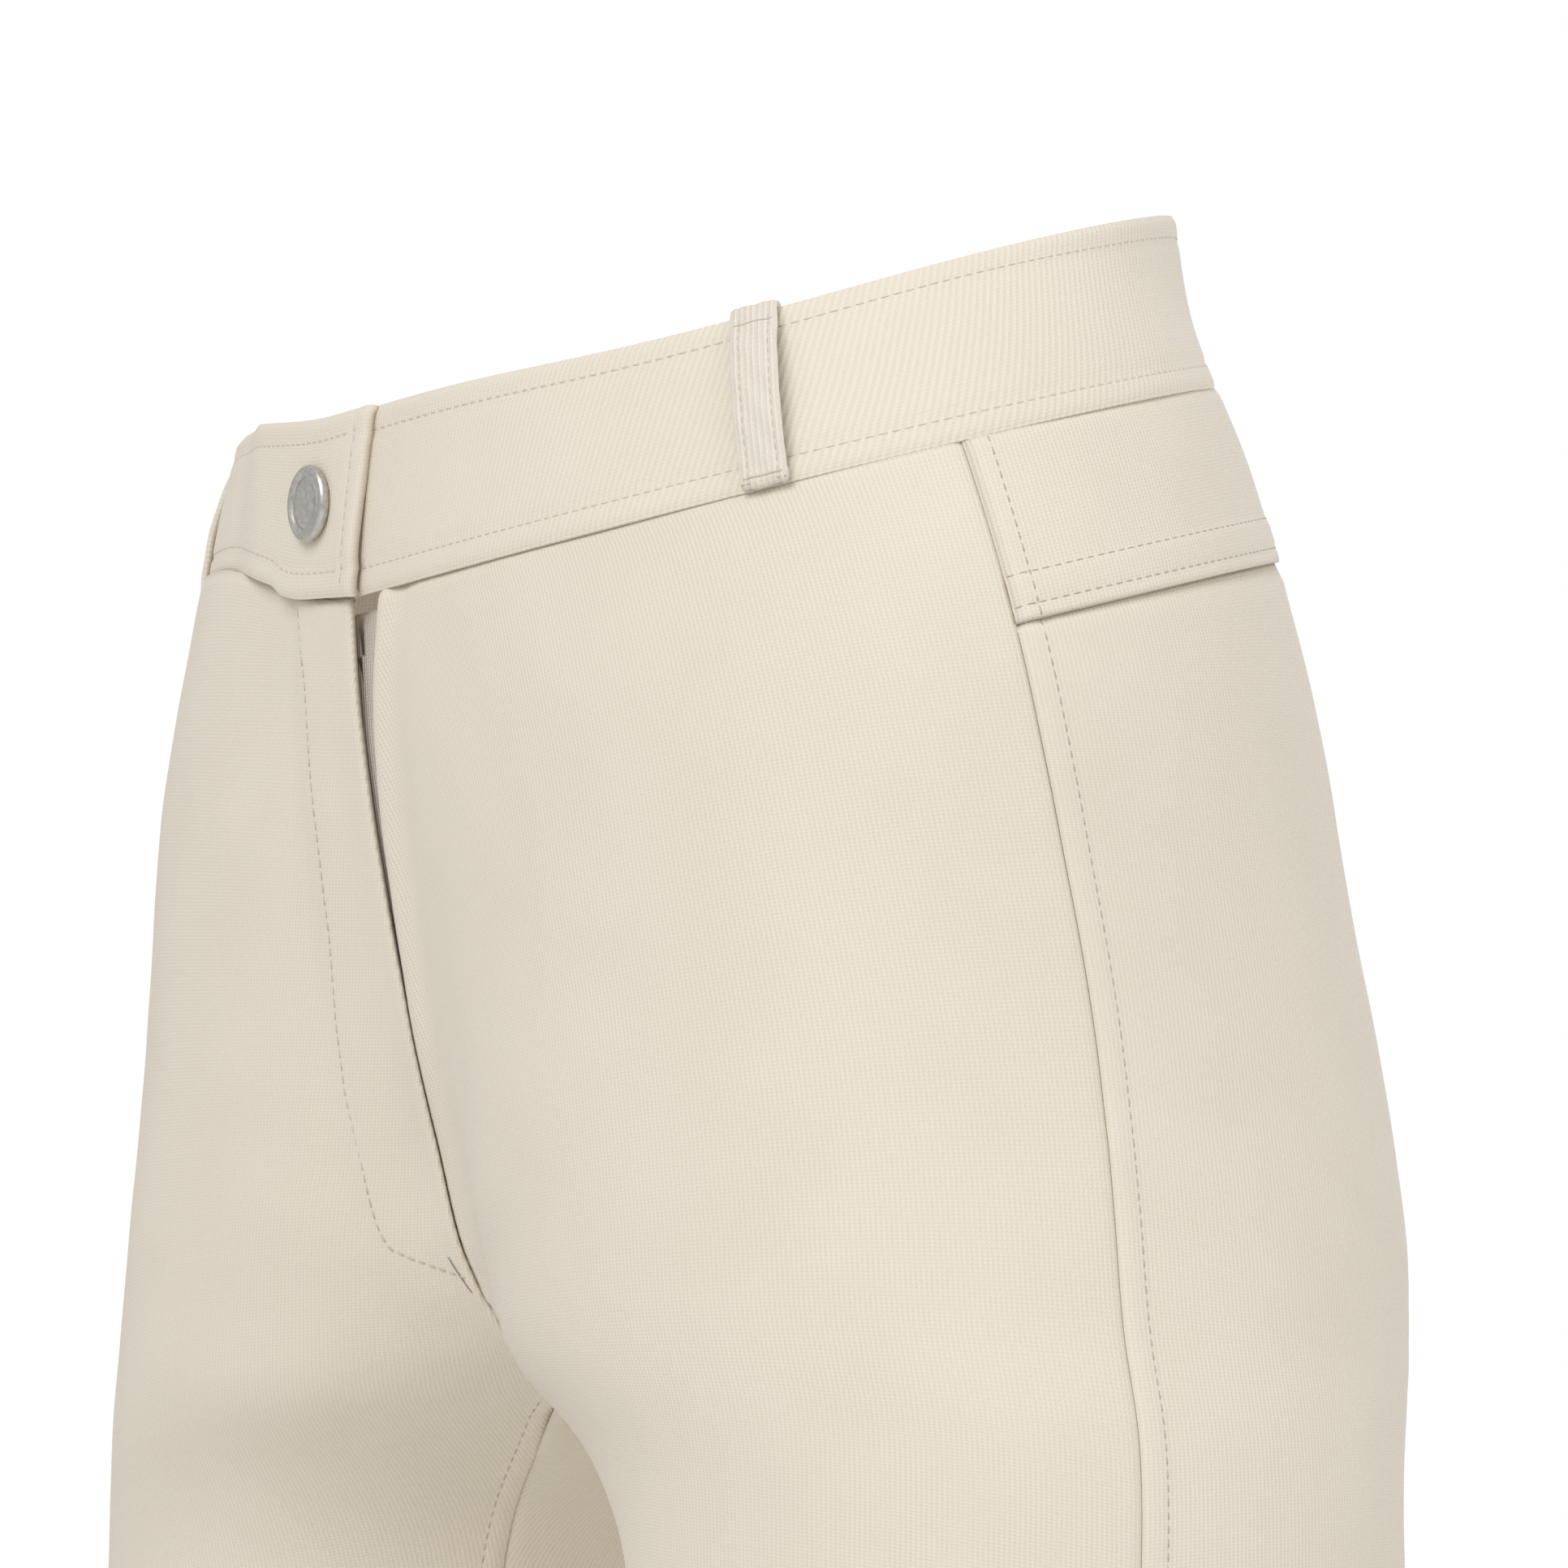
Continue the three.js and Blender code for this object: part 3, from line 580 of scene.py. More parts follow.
def waistband():
    share = np.linspace(0, 1, bandCut["rows"] + 1)
    share = 0.5 - 0.5 * np.cos(np.pi * share) * (0.75 + 0.25 * np.abs(np.cos(np.pi * share)))
    share = (share - share[0]) / (share[-1] - share[0])
    start = mix(bandCut["tabTop"], bandCut["tabFoot"], share)[:, None]
    along = np.linspace(0, 1, bandCut["columns"] + 1)
    # columns crowd towards the tab's end
    near = bandCut["endColumns"]
    along = np.concatenate([along[:near] ** 1.35 * along[near - 1] ** -0.35, along[near:]])
    angle = mix(start, bandCut["end"], along[None, :])
    share = np.broadcast_to(share[:, None], angle.shape)
    height = cut["bandDepth"] * bandCut["slopeLength"]
    fromTop, fromFoot = share * height, (1 - share) * height
    fromEnd = (start - angle) * bandCut["millimetresPerDegree"]
    rise = nearSeam(fromTop, 0.7, 0.9) + nearSeam(fromFoot, 0.55, 0.9) + nearSeam(fromEnd, 0.7, 0.9)
    rise = rise + besideStitch(fromTop, bandCut["stitchTop"], bandCut["dent"], bandCut["dentWidth"])
    rise = rise + besideStitch(fromFoot, bandCut["stitchFoot"], bandCut["dent"], bandCut["dentWidth"])
    rise = rise + 0.3 * np.sin(np.pi * share)
    onTab = ease((bandCut["tabLength"] - fromEnd) / 6)
    rise = rise + onTab * besideStitch(fromEnd, 5.5, bandCut["dent"], bandCut["dentWidth"])
    # the lapped end lifts a little and its lower edge waves
    lift = ease((bandCut["liftLength"] - fromEnd) / bandCut["liftLength"]) * ease(share * 2 - 0.6)
    puff = np.exp(-((fromEnd - bandCut["puffAt"]) / 9)**2) * ease(share * 2 - 1)
    rise = rise + bandCut["lift"] * lift
    rise = rise + bandCut["puff"] * puff
    outer = bandPoint(angle, share, rise)
    wave = bandCut["waveHeight"] * np.sin(fromEnd / bandCut["waveLength"]) - 0.5
    outer[..., 2] += onTab * ease(share * 3 - 2) * wave
    flat = np.stack([-fromEnd, -fromTop], -1) * mm
    return gridPiece("waistband", outer, flat, "cloth", False, ["waistband"], bandCut["wall"])


waistband()
print("stage: waistband")

# the belt loops
loopCut = {
    "width": 11.0, "wall": 1.5, "angle": 65.5, "frontGap": 3.4, "backGap": 6.0, "below": 3.0, "turn": 8.0,
    "length": 62.0, "rows": 90, "columns": 17, "softening": 0.3, "reach": 1.6, "lean": 1.4,
}


def loopPath(gap):
    # down from the band's top edge, and out from its face
    height = cut["bandDepth"] + loopCut["below"]
    return np.array([
        [height - 4.5, 0.6], [height - 0.8, 0.5], [height, 1.5], [height - 0.8, 2.6],
        [height * 0.9, 2.7], [height * 0.8, mix(1.8, gap + 1.2, 0.6)], [height * 0.6, gap + 1.2],
        [height * 0.38, gap + 1.4], [height * 0.18, mix(2.0, gap + 1.4, 0.6)], [4.0, 2.3],
        [1.0, 1.9], [-1.6, 1.0], [-2.6, -1.0], [-2.0, -3.2], [0.6, -4.2], [loopCut["turn"], -4.3],
    ])


def loopSurface(angle, gap, down, across):
    # a point of the strip: down is 0 to 1 along its path, across is in millimetres
    path = loopPath(gap)
    run = runAlong(path[None])[0]
    at = np.asarray(down) * run[-1]
    drop = np.interp(at, run, path[:, 0])
    out = np.interp(at, run, path[:, 1])
    for reach in (-loopCut["reach"], loopCut["reach"]):
        beside = np.clip(at + reach, 0, run[-1])
        drop = mix(drop, np.interp(beside, run, path[:, 0]), loopCut["softening"])
        out = mix(out, np.interp(beside, run, path[:, 1]), loopCut["softening"])
    dip = bandDip(angle)
    top = waistHeight(np.array([angle]), 0.0, cut["liftTop"])[0] - dip
    z = top - drop * (1 - dip / cut["bandDepth"])
    p = waistPoint(np.full(z.shape, float(angle)), z)
    n = outward(p)
    base = bandOffset(angle if angle < bandCut["tabTop"] else angle - 360)
    base = mix(base, 0.0, ease((drop - cut["bandDepth"]) / 3))
    centreNormal = outward(waistPoint(np.array([float(angle)]), np.array([top - 20])))[0]
    side = np.array([-centreNormal[1], centreNormal[0], cut["waistTilt"] * centreNormal[0]])
    side = side / np.linalg.norm(side)
    lean = loopCut["lean"] * (drop / cut["bandDepth"] - 0.5) * (1 if angle > 0 else -1)
    return p + n * (base + out)[..., None] + side * (np.asarray(across) + lean)[..., None]


def beltLoop(name, angle, gap):
    down = np.linspace(0, 1, loopCut["rows"])[:, None]
    across = np.linspace(-0.5, 0.5, loopCut["columns"])[None, :] * loopCut["width"]
    down, across = np.broadcast_arrays(down, across)
    edge = loopCut["width"] / 2 - np.abs(across)
    outer = loopSurface(angle, gap, down, across)
    n = np.cross(np.gradient(outer, axis=0), np.gradient(outer, axis=1))
    n /= np.linalg.norm(n, axis=-1, keepdims=True)
    dent = nearSeam(edge, 0.45, 0.7) + besideStitch(edge, 2.0, 0.25, 0.6)
    dent = dent + 0.12 * np.sin(down * 38 + across)
    middle = loopCut["rows"] // 2, loopCut["columns"] // 2
    facesOut = n[middle] @ outward(outer[middle]) > 0
    outer = outer + n * dent[..., None] * (1 if facesOut else -1)
    flat = np.stack([across, -down * loopCut["length"]], -1) * mm
    return gridPiece(name, outer, flat, "loop_cloth", facesOut, [name], loopCut["wall"])


beltLoop("loop_front_left", loopCut["angle"], loopCut["frontGap"])
beltLoop("loop_front_right", -loopCut["angle"], loopCut["frontGap"])
beltLoop("loop_centre_back", 180.0, loopCut["backGap"])
print("stage: belt loops")

# the zip tape, with its closed coil as a low ridge
zipCut = {
    "centre": -3.5, "half": 15.0, "top": -70.5, "foot": -213.0, "depth": 1.9, "sink": 0.9,
    "sinkLength": 34.0, "wall": 0.7, "coilRise": 0.5, "coilHalf": 2.4, "rows": 100, "columns": 25,
}


def tapeDepth(z):
    return zipCut["depth"] + zipCut["sink"] * (1 - ease((zipCut["top"] - z) / zipCut["sinkLength"]))


def zipTape():
    z = np.linspace(zipCut["top"], zipCut["foot"], zipCut["rows"])[:, None]
    x = zipCut["centre"] + np.linspace(-1, 1, zipCut["columns"])[None, :] * zipCut["half"]
    p = frontPoint(x + 0 * z, z + 0 * x)
    coil = zipCut["coilRise"] * np.exp(-((x - zipCut["centre"]) / zipCut["coilHalf"])**2)
    points = p - outward(p) * (tapeDepth(p[..., 2]) - coil)[..., None]
    flat = flatCoordinates(points, "start")
    return gridPiece("zip_tape", points, flat, "tape", True, ["zip_tape"], zipCut["wall"])


zipTape()

# the press-stud cap, with a plain face
capCut = {
    "angle": -7.4, "height": -44.5, "standoff": 3.35, "steps": 72,
    # half profile: radius and height from the stud's middle, round its rim, to its domed face
    "profile": [(0, 0), (6.8, 0), (8.1, 0.3), (8.65, 0.9), (8.8, 1.6), (8.5, 2.4), (7.9, 2.85),
                (7.2, 2.7), (6.75, 2.2), (6.4, 2.0), (5.9, 2.05), (5.6, 2.3), (5.1, 2.35),
                (4.8, 2.1), (3.4, 2.2), (1.7, 2.4), (0, 2.5)],
}


def pressStud():
    bm = bmesh.new()
    line = [bm.verts.new((r, 0, h)) for r, h in capCut["profile"]]
    edges = [bm.edges.new(pair) for pair in zip(line, line[1:])]
    bmesh.ops.spin(bm, geom=line + edges, cent=(0, 0, 0), axis=(0, 0, 1), angle=math.tau,
                   steps=capCut["steps"], use_merge=True, use_duplicate=False)
    bmesh.ops.remove_doubles(bm, verts=bm.verts[:], dist=0.002)
    bmesh.ops.recalc_face_normals(bm, faces=bm.faces[:])
    foot = waistPoint(np.array([capCut["angle"]]), np.array([capCut["height"]]))[0]
    axis = Vector(outward(foot))
    place = Matrix.Translation((Vector(foot) + axis * capCut["standoff"]) * mm)
    turn = axis.to_track_quat("Z", "Y").to_matrix().to_4x4()
    bmesh.ops.transform(bm, matrix=place @ turn @ Matrix.Scale(mm, 4), verts=bm.verts[:])
    return keepPiece(bm, "button_cap", "metal", "button_cap")


pressStud()
print("stage: zip and stud")

# the stitching
stitchCut = {"length": 2.35, "pitch": 2.9, "width": 0.5, "height": 0.34, "sunk": 0.04, "uneven": 0.08}
stitchSets = {}


def pathPoints(points, pitch):
    run = runAlong(points[None])[0]
    count = max(2, round(run[-1] / pitch))
    at = (np.arange(count) + 0.5) * run[-1] / count
    return np.stack([np.interp(at, run, points[:, k]) for k in range(3)], -1)


def stitchRow(group, points, pitch=None, length=None, width=None, rise=0.0):
    # points already lie on the cloth's outer face, in millimetres
    pitch = pitch or stitchCut["pitch"]
    length = length or stitchCut["length"]
    width = width or stitchCut["width"]
    bm = stitchSets.setdefault(group, bmesh.new())
    ends = pathPoints(points, pitch)
    normals = outward(ends)
    for k, (p, n) in enumerate(zip(ends, normals)):
        a = ends[max(k - 1, 0)]
        b = ends[min(k + 1, len(ends) - 1)]
        along = Vector(b - a).normalized()
        up = Vector(n)
        across = up.cross(along).normalized()
        up = along.cross(across)
        slack = 1 + stitchCut["uneven"] * math.sin(k * 2.3)
        sides = (along * length / 2 * slack, across * width / 2, up * stitchCut["height"] / 2)
        spin = Matrix(sides).transposed().to_4x4()
        place = Matrix.Translation((Vector(p) + up * (rise - stitchCut["sunk"])) * mm)
        form = place @ Matrix.Scale(mm, 4) @ spin
        bmesh.ops.create_icosphere(bm, subdivisions=1, radius=1.0, matrix=form)


def insideLine(name, distance, fromEnd=False, across=False, keep=None):
    # a line at a fixed distance inside one edge of a made piece, on its outer face
    grid = faces[name] if not across else faces[name].transpose(1, 0, 2)
    if fromEnd:
        grid = grid[:, ::-1]
    points = []
    for run, line in zip(runAlong(grid), grid):
        points.append([np.interp(distance, run, line[:, k]) for k in range(3)])
    points = np.array(points)
    return points if keep is None else points[keep(points)]


def onFace(name, points):
    # drops points (millimetres) onto the nearest places of a made piece's outer face
    grid = faces[name].reshape(-1, 3)
    result = []
    for p in points:
        near = np.argsort(((grid - p)**2).sum(1))[:6]
        weight = 1 / (((grid[near] - p)**2).sum(1) + 0.05)
        normal = outward(grid[near[0]])
        height = ((grid[near] - p) @ normal * weight).sum() / weight.sum()
        result.append(p + normal * height)
    return np.array(result)


def belowFork(points):
    return points[:, 2] < frontCrotch[2] - 3


def aboveFork(points):
    return points[:, 2] > frontCrotch[2] + 3


for hand in ("left", "right"):
    back, front, yokeName = "back_" + hand, "front_" + hand, "yoke_" + hand
    stitchRow("side", insideLine(back, panelCut["stitchSide"], True))
    stitchRow("side", insideLine(yokeName, panelCut["stitchSide"], True))
    stitchRow("side", insideLine(yokeName, yokeCut["stitchLow"], True, True))
    stitchRow("side", insideLine(yokeName, yokeCut["stitchHigh"], True, True))
    stitchRow("side", insideLine(front, panelCut["stitchInseam"], keep=belowFork))
    stitchRow("side", insideLine(back, panelCut["stitchInseam"], keep=aboveFork))
    for name in (back, front):
        stitchRow("side", insideLine(name, panelCut["stitchHem"], True, True))
print("stage: seam stitching")

ends = slice(8, 548)        # columns of the band that its long rows run between
stitchRow("band", insideLine("waistband", bandCut["stitchTop"], False, True)[ends])
stitchRow("band", insideLine("waistband", bandCut["stitchFoot"], True, True)[ends])
stitchRow("band", insideLine("waistband", bandCut["stitchTab"])[4:-4])

# the fly's curved row, from the band down and round to the centre: x and z
flyCut = {
    "row": [(-25.4, -66), (-22.2, -84), (-22.2, -100), (-22.4, -120), (-23, -140), (-25, -160),
            (-25.6, -176), (-24.2, -190), (-22.8, -200), (-21.4, -207), (-19.8, -210.6),
            (-15, -213), (-8.5, -215.4), (-1.5, -217.8)],
    "tack": [(-4.5, -213.5), (-2.0, -220.5)],
    "points": 200, "tackPoints": 24, "rise": 0.15,
}
flyLine = np.array(flyCut["row"], float)
flyRun = runAlong(flyLine[None])[0]
flyAt = np.linspace(0, flyRun[-1], flyCut["points"])
flyPlan = np.stack([np.interp(flyAt, flyRun, flyLine[:, k]) for k in range(2)], -1)
flyPlan[1:-1] = (flyPlan[:-2] + 2 * flyPlan[1:-1] + flyPlan[2:]) / 4
flyPoints = onFace("front_right", frontPoint(flyPlan[:, 0], flyPlan[:, 1]))
stitchRow("fly", flyPoints, rise=flyCut["rise"])

# close bar tacks: across the fly's foot, and on the loops' ends
tackPlan = np.linspace(*np.array(flyCut["tack"]), flyCut["tackPoints"])
tackLine = onFace("front_right", frontPoint(tackPlan[:, 0], tackPlan[:, 1]))
stitchRow("tack", tackLine, pitch=0.42, length=2.2, width=0.42, rise=0.2)
for name in ("loop_front_left", "loop_front_right", "loop_centre_back"):
    face = faces[name]
    for column in (3, 13):
        stitchRow("loop", face[10:66, column], pitch=2.6, length=2.0, width=0.45)
    for row in (62, 11):
        stitchRow("loop", face[row, 2:15], pitch=0.5, length=1.6, width=0.4, rise=0.1)

for group, bm in stitchSets.items():
    keepPiece(bm, "stitches_" + group, "cloth")
print("stage: stitching")

# materials


def newMaterial(name):
    material = bpy.data.materials.new(name)
    material.use_nodes = True
    material.node_tree.nodes.clear()
    return material, material.node_tree


def addNode(tree, kind, **values):
    node = tree.nodes.new(kind)
    for key, value in values.items():
        setattr(node, key, value)
    return node


def mathNode(tree, operation, a, b=None):
    node = addNode(tree, "ShaderNodeMath", operation=operation)
    for socket, value in zip(node.inputs, (a, b)):
        if value is None:
            continue
        if isinstance(value, (int, float)):
            socket.default_value = value
        else:
            tree.links.new(value, socket)
    return node.outputs[0]


def knitGroup():
    # upright wales, their rows, a fine fuzz, and a slow unevenness of the dye
    group = bpy.data.node_groups.new("knitFace", "ShaderNodeTree")
    face = group.interface
    face.new_socket(name="Vector", in_out="INPUT", socket_type="NodeSocketVector")
    for name, value in (("Wale Pitch", 0.0011), ("Row Pitch", 0.0008), ("Rib", 1.0)):
        socket = face.new_socket(name=name, in_out="INPUT", socket_type="NodeSocketFloat")
        socket.default_value = value
    for name in ("Height", "Wale Mask", "Fuzz", "Cloud"):
        face.new_socket(name=name, in_out="OUTPUT", socket_type="NodeSocketFloat")
    given = addNode(group, "NodeGroupInput")
    out = addNode(group, "NodeGroupOutput")
    apart = addNode(group, "ShaderNodeSeparateXYZ")
    group.links.new(given.outputs["Vector"], apart.inputs[0])
    wobble = addNode(group, "ShaderNodeTexNoise")
    wobble.inputs["Scale"].default_value = 90.0
    wobble.inputs["Detail"].default_value = 2.0
    group.links.new(given.outputs["Vector"], wobble.inputs["Vector"])
    drift = mathNode(group, "MULTIPLY", wobble.outputs["Fac"], 2.2)
    wale = mathNode(group, "DIVIDE", apart.outputs[0], given.outputs["Wale Pitch"])
    walePhase = mathNode(group, "ADD", mathNode(group, "MULTIPLY", wale, math.tau), drift)
    rowAt = mathNode(group, "DIVIDE", apart.outputs[1], given.outputs["Row Pitch"])
    waleWave = mathNode(group, "SINE", walePhase)
    slant = mathNode(group, "MULTIPLY", waleWave, 1.1)
    rowTurn = mathNode(group, "MULTIPLY", rowAt, math.tau)
    rowWave = mathNode(group, "SINE", mathNode(group, "ADD", rowTurn, slant))
    halfWale = mathNode(group, "MULTIPLY", waleWave, 0.5)
    waleUp = mathNode(group, "MULTIPLY", halfWale, given.outputs["Rib"])
    fuzz = addNode(group, "ShaderNodeTexNoise")
    fuzz.inputs["Scale"].default_value = 1500.0
    fuzz.inputs["Detail"].default_value = 4.0
    fuzz.inputs["Roughness"].default_value = 0.7
    group.links.new(given.outputs["Vector"], fuzz.inputs["Vector"])
    cloud = addNode(group, "ShaderNodeTexNoise")
    cloud.inputs["Scale"].default_value = 22.0
    cloud.inputs["Detail"].default_value = 3.0
    group.links.new(given.outputs["Vector"], cloud.inputs["Vector"])
    height = mathNode(group, "ADD", waleUp, mathNode(group, "MULTIPLY", rowWave, 0.22))
    height = mathNode(group, "ADD", height, mathNode(group, "MULTIPLY", fuzz.outputs["Fac"], 0.9))
    mask = mathNode(group, "ADD", mathNode(group, "MULTIPLY", waleWave, 0.5), 0.5)
    group.links.new(height, out.inputs["Height"])
    group.links.new(mask, out.inputs["Wale Mask"])
    group.links.new(fuzz.outputs["Fac"], out.inputs["Fuzz"])
    group.links.new(cloud.outputs["Fac"], out.inputs["Cloud"])
    return group


knitFace = knitGroup()


def addRamp(tree, value, start, dark, end, light):
    ramp = addNode(tree, "ShaderNodeValToRGB")
    for element, position, colour in zip(ramp.color_ramp.elements, (start, end), (dark, light)):
        element.position = position
        element.color = (*colour, 1)
    tree.links.new(value, ramp.inputs[0])
    return ramp.outputs[0]


def clothMaterial(name, look):
    material, tree = newMaterial(name)
    link = tree.links.new
    out = addNode(tree, "ShaderNodeOutputMaterial")
    shader = addNode(tree, "ShaderNodeBsdfPrincipled")
    shader.inputs["Roughness"].default_value = 0.92
    shader.inputs["Specular IOR Level"].default_value = 0.25
    shader.inputs["Sheen Weight"].default_value = look["sheen"]
    shader.inputs["Sheen Roughness"].default_value = 0.45
    link(shader.outputs[0], out.inputs["Surface"])
    uv = addNode(tree, "ShaderNodeUVMap", uv_map="cloth")
    knit = addNode(tree, "ShaderNodeGroup")
    knit.node_tree = knitFace
    knit.inputs["Wale Pitch"].default_value = look["wale"]
    knit.inputs["Row Pitch"].default_value = look["row"]
    knit.inputs["Rib"].default_value = look["rib"]
    link(uv.outputs[0], knit.inputs["Vector"])
    shade = mathNode(tree, "MULTIPLY", knit.outputs["Wale Mask"], 0.35)
    shade = mathNode(tree, "ADD", shade, mathNode(tree, "MULTIPLY", knit.outputs["Fuzz"], 0.55))
    shade = mathNode(tree, "ADD", shade, mathNode(tree, "MULTIPLY", knit.outputs["Cloud"], 0.45))
    link(addRamp(tree, shade, 0.3, look["dark"], 0.95, look["light"]), shader.inputs["Base Color"])
    dent = addNode(tree, "ShaderNodeBump")
    dent.inputs["Strength"].default_value = 0.6
    dent.inputs["Distance"].default_value = look["bump"]
    link(knit.outputs["Height"], dent.inputs["Height"])
    link(dent.outputs[0], shader.inputs["Normal"])
    return material


def threadMaterial(name, light, dark):
    material, tree = newMaterial(name)
    link = tree.links.new
    out = addNode(tree, "ShaderNodeOutputMaterial")
    shader = addNode(tree, "ShaderNodeBsdfPrincipled")
    shader.inputs["Roughness"].default_value = 0.6
    shader.inputs["Sheen Weight"].default_value = 0.2
    link(shader.outputs[0], out.inputs["Surface"])
    place = addNode(tree, "ShaderNodeTexCoord")
    noise = addNode(tree, "ShaderNodeTexNoise")
    noise.inputs["Scale"].default_value = 2600.0
    link(place.outputs["Object"], noise.inputs["Vector"])
    shade = addRamp(tree, noise.outputs["Fac"], 0.3, dark, 0.7, light)
    link(shade, shader.inputs["Base Color"])
    return material


def metalMaterial(name, light, dark, rough):
    material, tree = newMaterial(name)
    link = tree.links.new
    out = addNode(tree, "ShaderNodeOutputMaterial")
    shader = addNode(tree, "ShaderNodeBsdfPrincipled")
    shader.inputs["Metallic"].default_value = 1.0
    link(shader.outputs[0], out.inputs["Surface"])
    place = addNode(tree, "ShaderNodeTexCoord")
    noise = addNode(tree, "ShaderNodeTexNoise")
    noise.inputs["Scale"].default_value = 900.0
    noise.inputs["Detail"].default_value = 5.0
    link(place.outputs["Object"], noise.inputs["Vector"])
    shade = addRamp(tree, noise.outputs["Fac"], 0.35, dark, 0.65, light)
    link(shade, shader.inputs["Base Color"])
    span = addNode(tree, "ShaderNodeMapRange")
    span.inputs["To Min"].default_value = rough - 0.07
    span.inputs["To Max"].default_value = rough + 0.07
    link(noise.outputs["Fac"], span.inputs["Value"])
    link(span.outputs[0], shader.inputs["Roughness"])
    dent = addNode(tree, "ShaderNodeBump")
    dent.inputs["Strength"].default_value = 0.25
    dent.inputs["Distance"].default_value = 0.00003
    link(noise.outputs["Fac"], dent.inputs["Height"])
    link(dent.outputs[0], shader.inputs["Normal"])
    return material


# colours are linear; pitches and bump are in metres
ecruKnit = clothMaterial("ecruKnit", {
    "light": (0.80, 0.735, 0.625), "dark": (0.70, 0.635, 0.53),
    "wale": 0.0011, "row": 0.0008, "rib": 1.0, "bump": 0.00016, "sheen": 0.12,
})
ribKnit = clothMaterial("ribKnit", {
    "light": (0.82, 0.765, 0.665), "dark": (0.66, 0.60, 0.51),
    "wale": 0.0014, "row": 0.0012, "rib": 1.6, "bump": 0.0003, "sheen": 0.12,
})
zipWeave = clothMaterial("zipWeave", {
    "light": (0.74, 0.68, 0.59), "dark": (0.50, 0.45, 0.38),
    "wale": 0.0008, "row": 0.0008, "rib": 1.4, "bump": 0.0003, "sheen": 0.05,
})
seamThread = threadMaterial("seamThread", (0.56, 0.50, 0.42), (0.40, 0.35, 0.29))
bandThread = threadMaterial("bandThread", (0.66, 0.60, 0.50), (0.52, 0.46, 0.38))
tackThread = threadMaterial("tackThread", (0.40, 0.32, 0.28), (0.28, 0.21, 0.19))
satinNickel = metalMaterial("satinNickel", (0.66, 0.64, 0.60), (0.52, 0.50, 0.47), 0.34)

finishes = {
    "front_left": ecruKnit, "front_right": ecruKnit, "back_left": ecruKnit, "back_right": ecruKnit,
    "yoke_left": ecruKnit, "yoke_right": ecruKnit, "waistband": ecruKnit,
    "loop_front_left": ribKnit, "loop_front_right": ribKnit, "loop_centre_back": ribKnit,
    "zip_tape": zipWeave, "button_cap": satinNickel,
    "stitches_side": seamThread, "stitches_band": bandThread, "stitches_fly": bandThread,
    "stitches_loop": bandThread, "stitches_tack": tackThread,
}
for name, material in finishes.items():
    pieces[name].data.materials.clear()
    pieces[name].data.materials.append(material)
for name in ("zip_slider", "zip_pull"):
    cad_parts[name].data.materials.clear()
    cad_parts[name].data.materials.append(satinNickel)
print("stage: materials")

# the floor, the light and the camera
studio = {
    "floorHalf": 6.0, "floorGap": 0.002, "backdrop": 1.0, "fill": 0.62, "middle": (0.0, 0.0, -0.15),
    # each lamp: azimuth and elevation it shines from, distance, size, power
    "lamps": {
        "keySoft": (28, 38, 2.4, 1.6, 26.0),
        "sideSoft": (112, 22, 2.4, 1.8, 13.0),
        "backSoft": (215, 30, 2.6, 2.0, 14.0),
    },
}
cameraView = {
    "azimuth": 59.0, "elevation": -8.0, "distance": 2.2, "target": (0.00965, 0.0179, -0.10276),
    "sensor": 36.0, "lens": 221.4,
}


def towards(azimuth, elevation):
    a, e = math.radians(azimuth), math.radians(elevation)
    return Vector((math.sin(a) * math.cos(e), -math.cos(a) * math.cos(e), math.sin(e)))


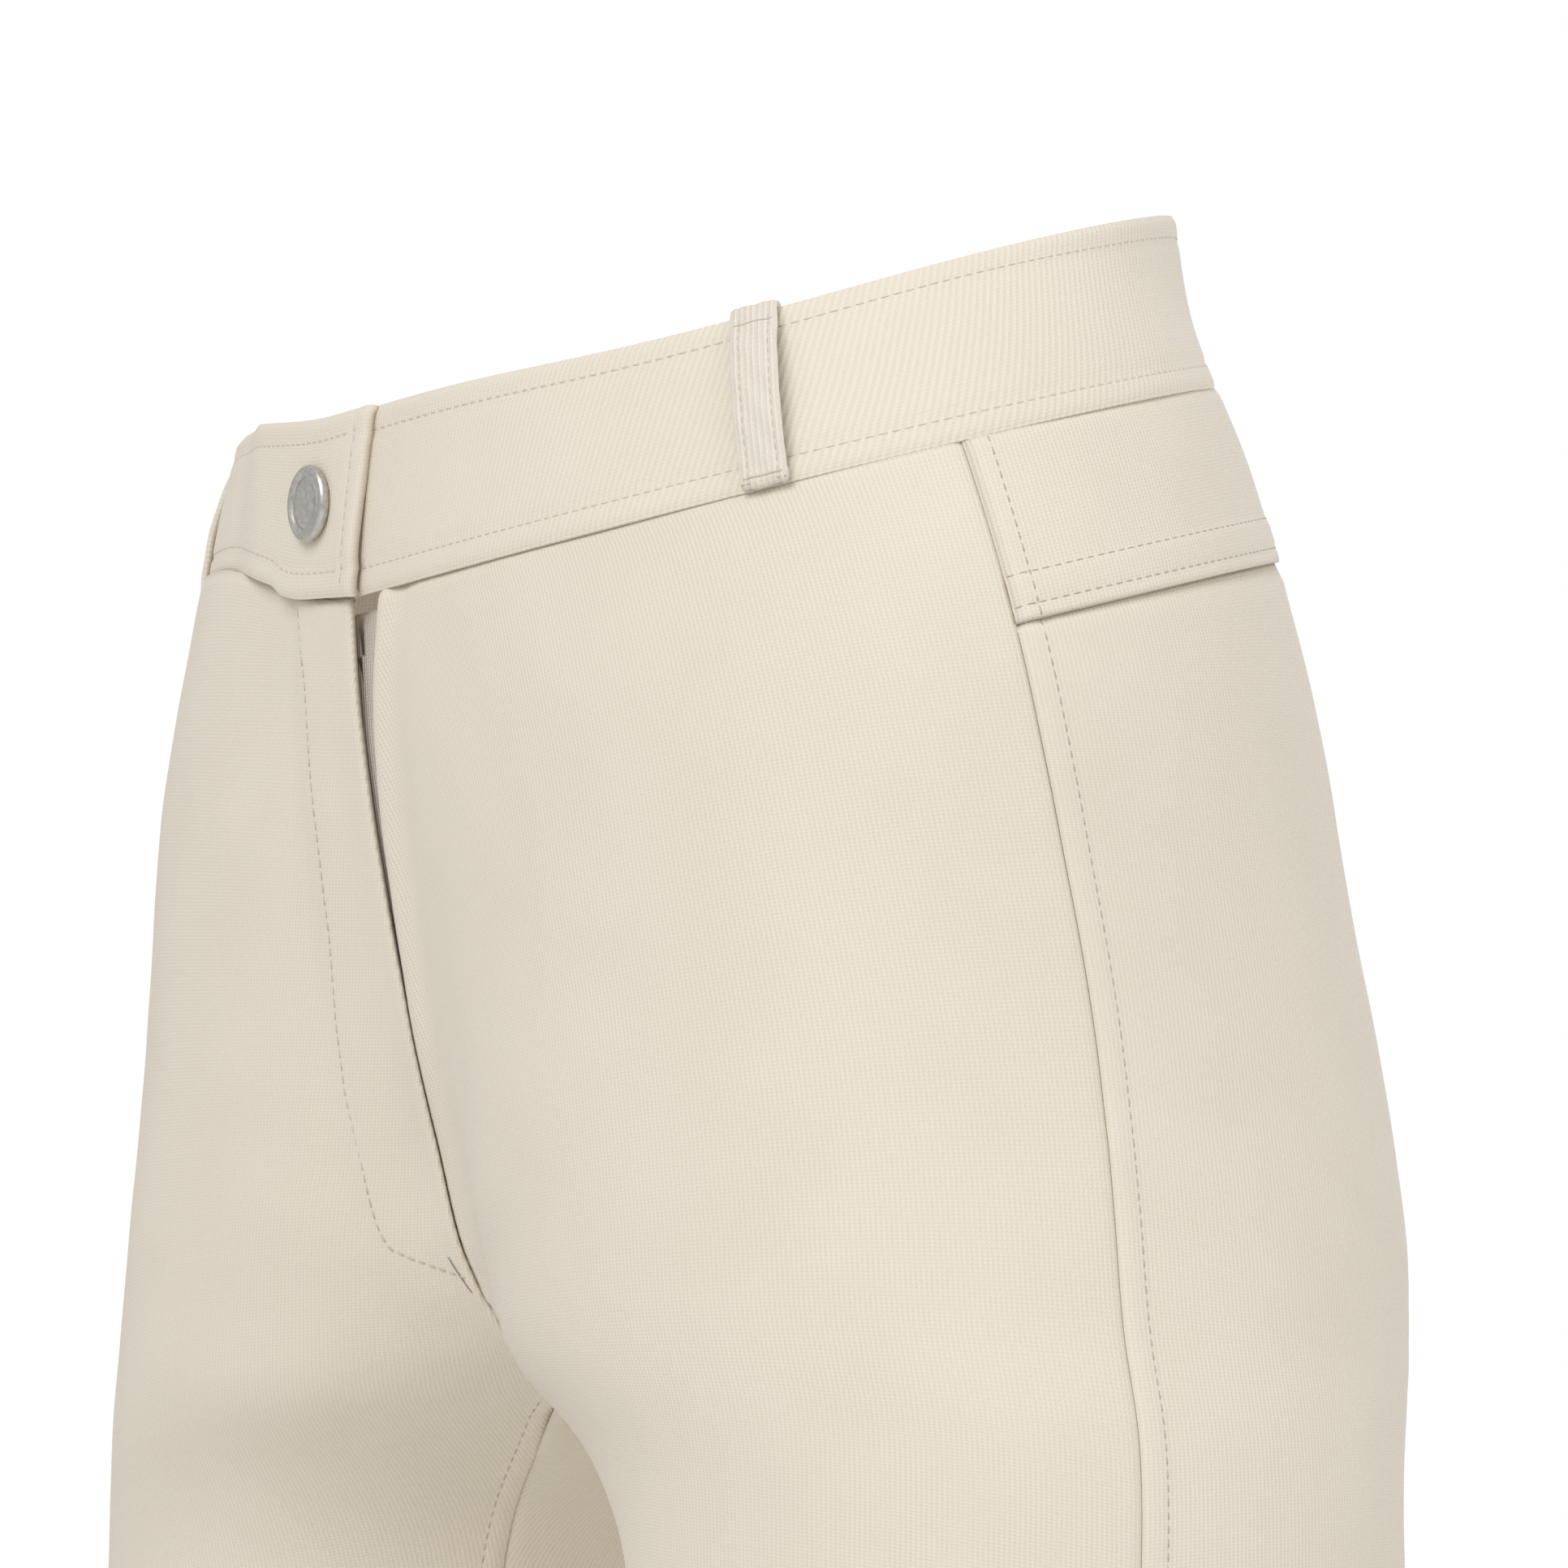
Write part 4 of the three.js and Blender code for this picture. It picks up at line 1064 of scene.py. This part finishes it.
bm = bmesh.new()
bmesh.ops.create_grid(bm, x_segments=2, y_segments=2, size=studio["floorHalf"])
bmesh.ops.translate(bm, verts=bm.verts[:], vec=(0, 0, cadLow[2] - studio["floorGap"]))
floorMesh = bpy.data.meshes.new("studioFloor")
bm.to_mesh(floorMesh)
bm.free()
floor = bpy.data.objects.new("studioFloor", floorMesh)
bpy.context.collection.objects.link(floor)
floorPaper, tree = newMaterial("floorPaper")
paperShader = addNode(tree, "ShaderNodeBsdfPrincipled")
paperShader.inputs["Base Color"].default_value = (0.86, 0.86, 0.85, 1)
paperShader.inputs["Roughness"].default_value = 0.9
paperOut = addNode(tree, "ShaderNodeOutputMaterial")
tree.links.new(paperShader.outputs[0], paperOut.inputs["Surface"])
floor.data.materials.append(floorPaper)

world = bpy.data.worlds.new("studio")
bpy.context.scene.world = world
world.use_nodes = True
tree = world.node_tree
tree.nodes.clear()
worldOut = addNode(tree, "ShaderNodeOutputWorld")
seen = addNode(tree, "ShaderNodeBackground")
seen.inputs["Strength"].default_value = studio["backdrop"]
fill = addNode(tree, "ShaderNodeBackground")
fill.inputs["Strength"].default_value = studio["fill"]
rays = addNode(tree, "ShaderNodeLightPath")
swap = addNode(tree, "ShaderNodeMixShader")
tree.links.new(rays.outputs["Is Camera Ray"], swap.inputs[0])
tree.links.new(fill.outputs[0], swap.inputs[1])
tree.links.new(seen.outputs[0], swap.inputs[2])
tree.links.new(swap.outputs[0], worldOut.inputs["Surface"])
for node in (seen, fill):
    node.inputs["Color"].default_value = (1, 1, 1, 1)

for name, (azimuth, elevation, distance, size, power) in studio["lamps"].items():
    lamp = bpy.data.lights.new(name, "AREA")
    lamp.shape = "DISK"
    lamp.size = size
    lamp.energy = power
    body = bpy.data.objects.new(name, lamp)
    away = towards(azimuth, elevation)
    body.location = Vector(studio["middle"]) + away * distance
    body.rotation_euler = away.to_track_quat("Z", "Y").to_euler()
    bpy.context.collection.objects.link(body)

camera = bpy.data.cameras.new("camera")
camera.sensor_width = cameraView["sensor"]
camera.lens = cameraView["lens"]
camera.clip_end = 50.0
cameraBody = bpy.data.objects.new("camera", camera)
away = towards(cameraView["azimuth"], cameraView["elevation"])
cameraBody.location = Vector(cameraView["target"]) + away * cameraView["distance"]
cameraBody.rotation_euler = away.to_track_quat("Z", "Y").to_euler()
bpy.context.collection.objects.link(cameraBody)
bpy.context.scene.camera = cameraBody
bpy.context.scene.view_settings.view_transform = "Standard"
print("stage: studio")
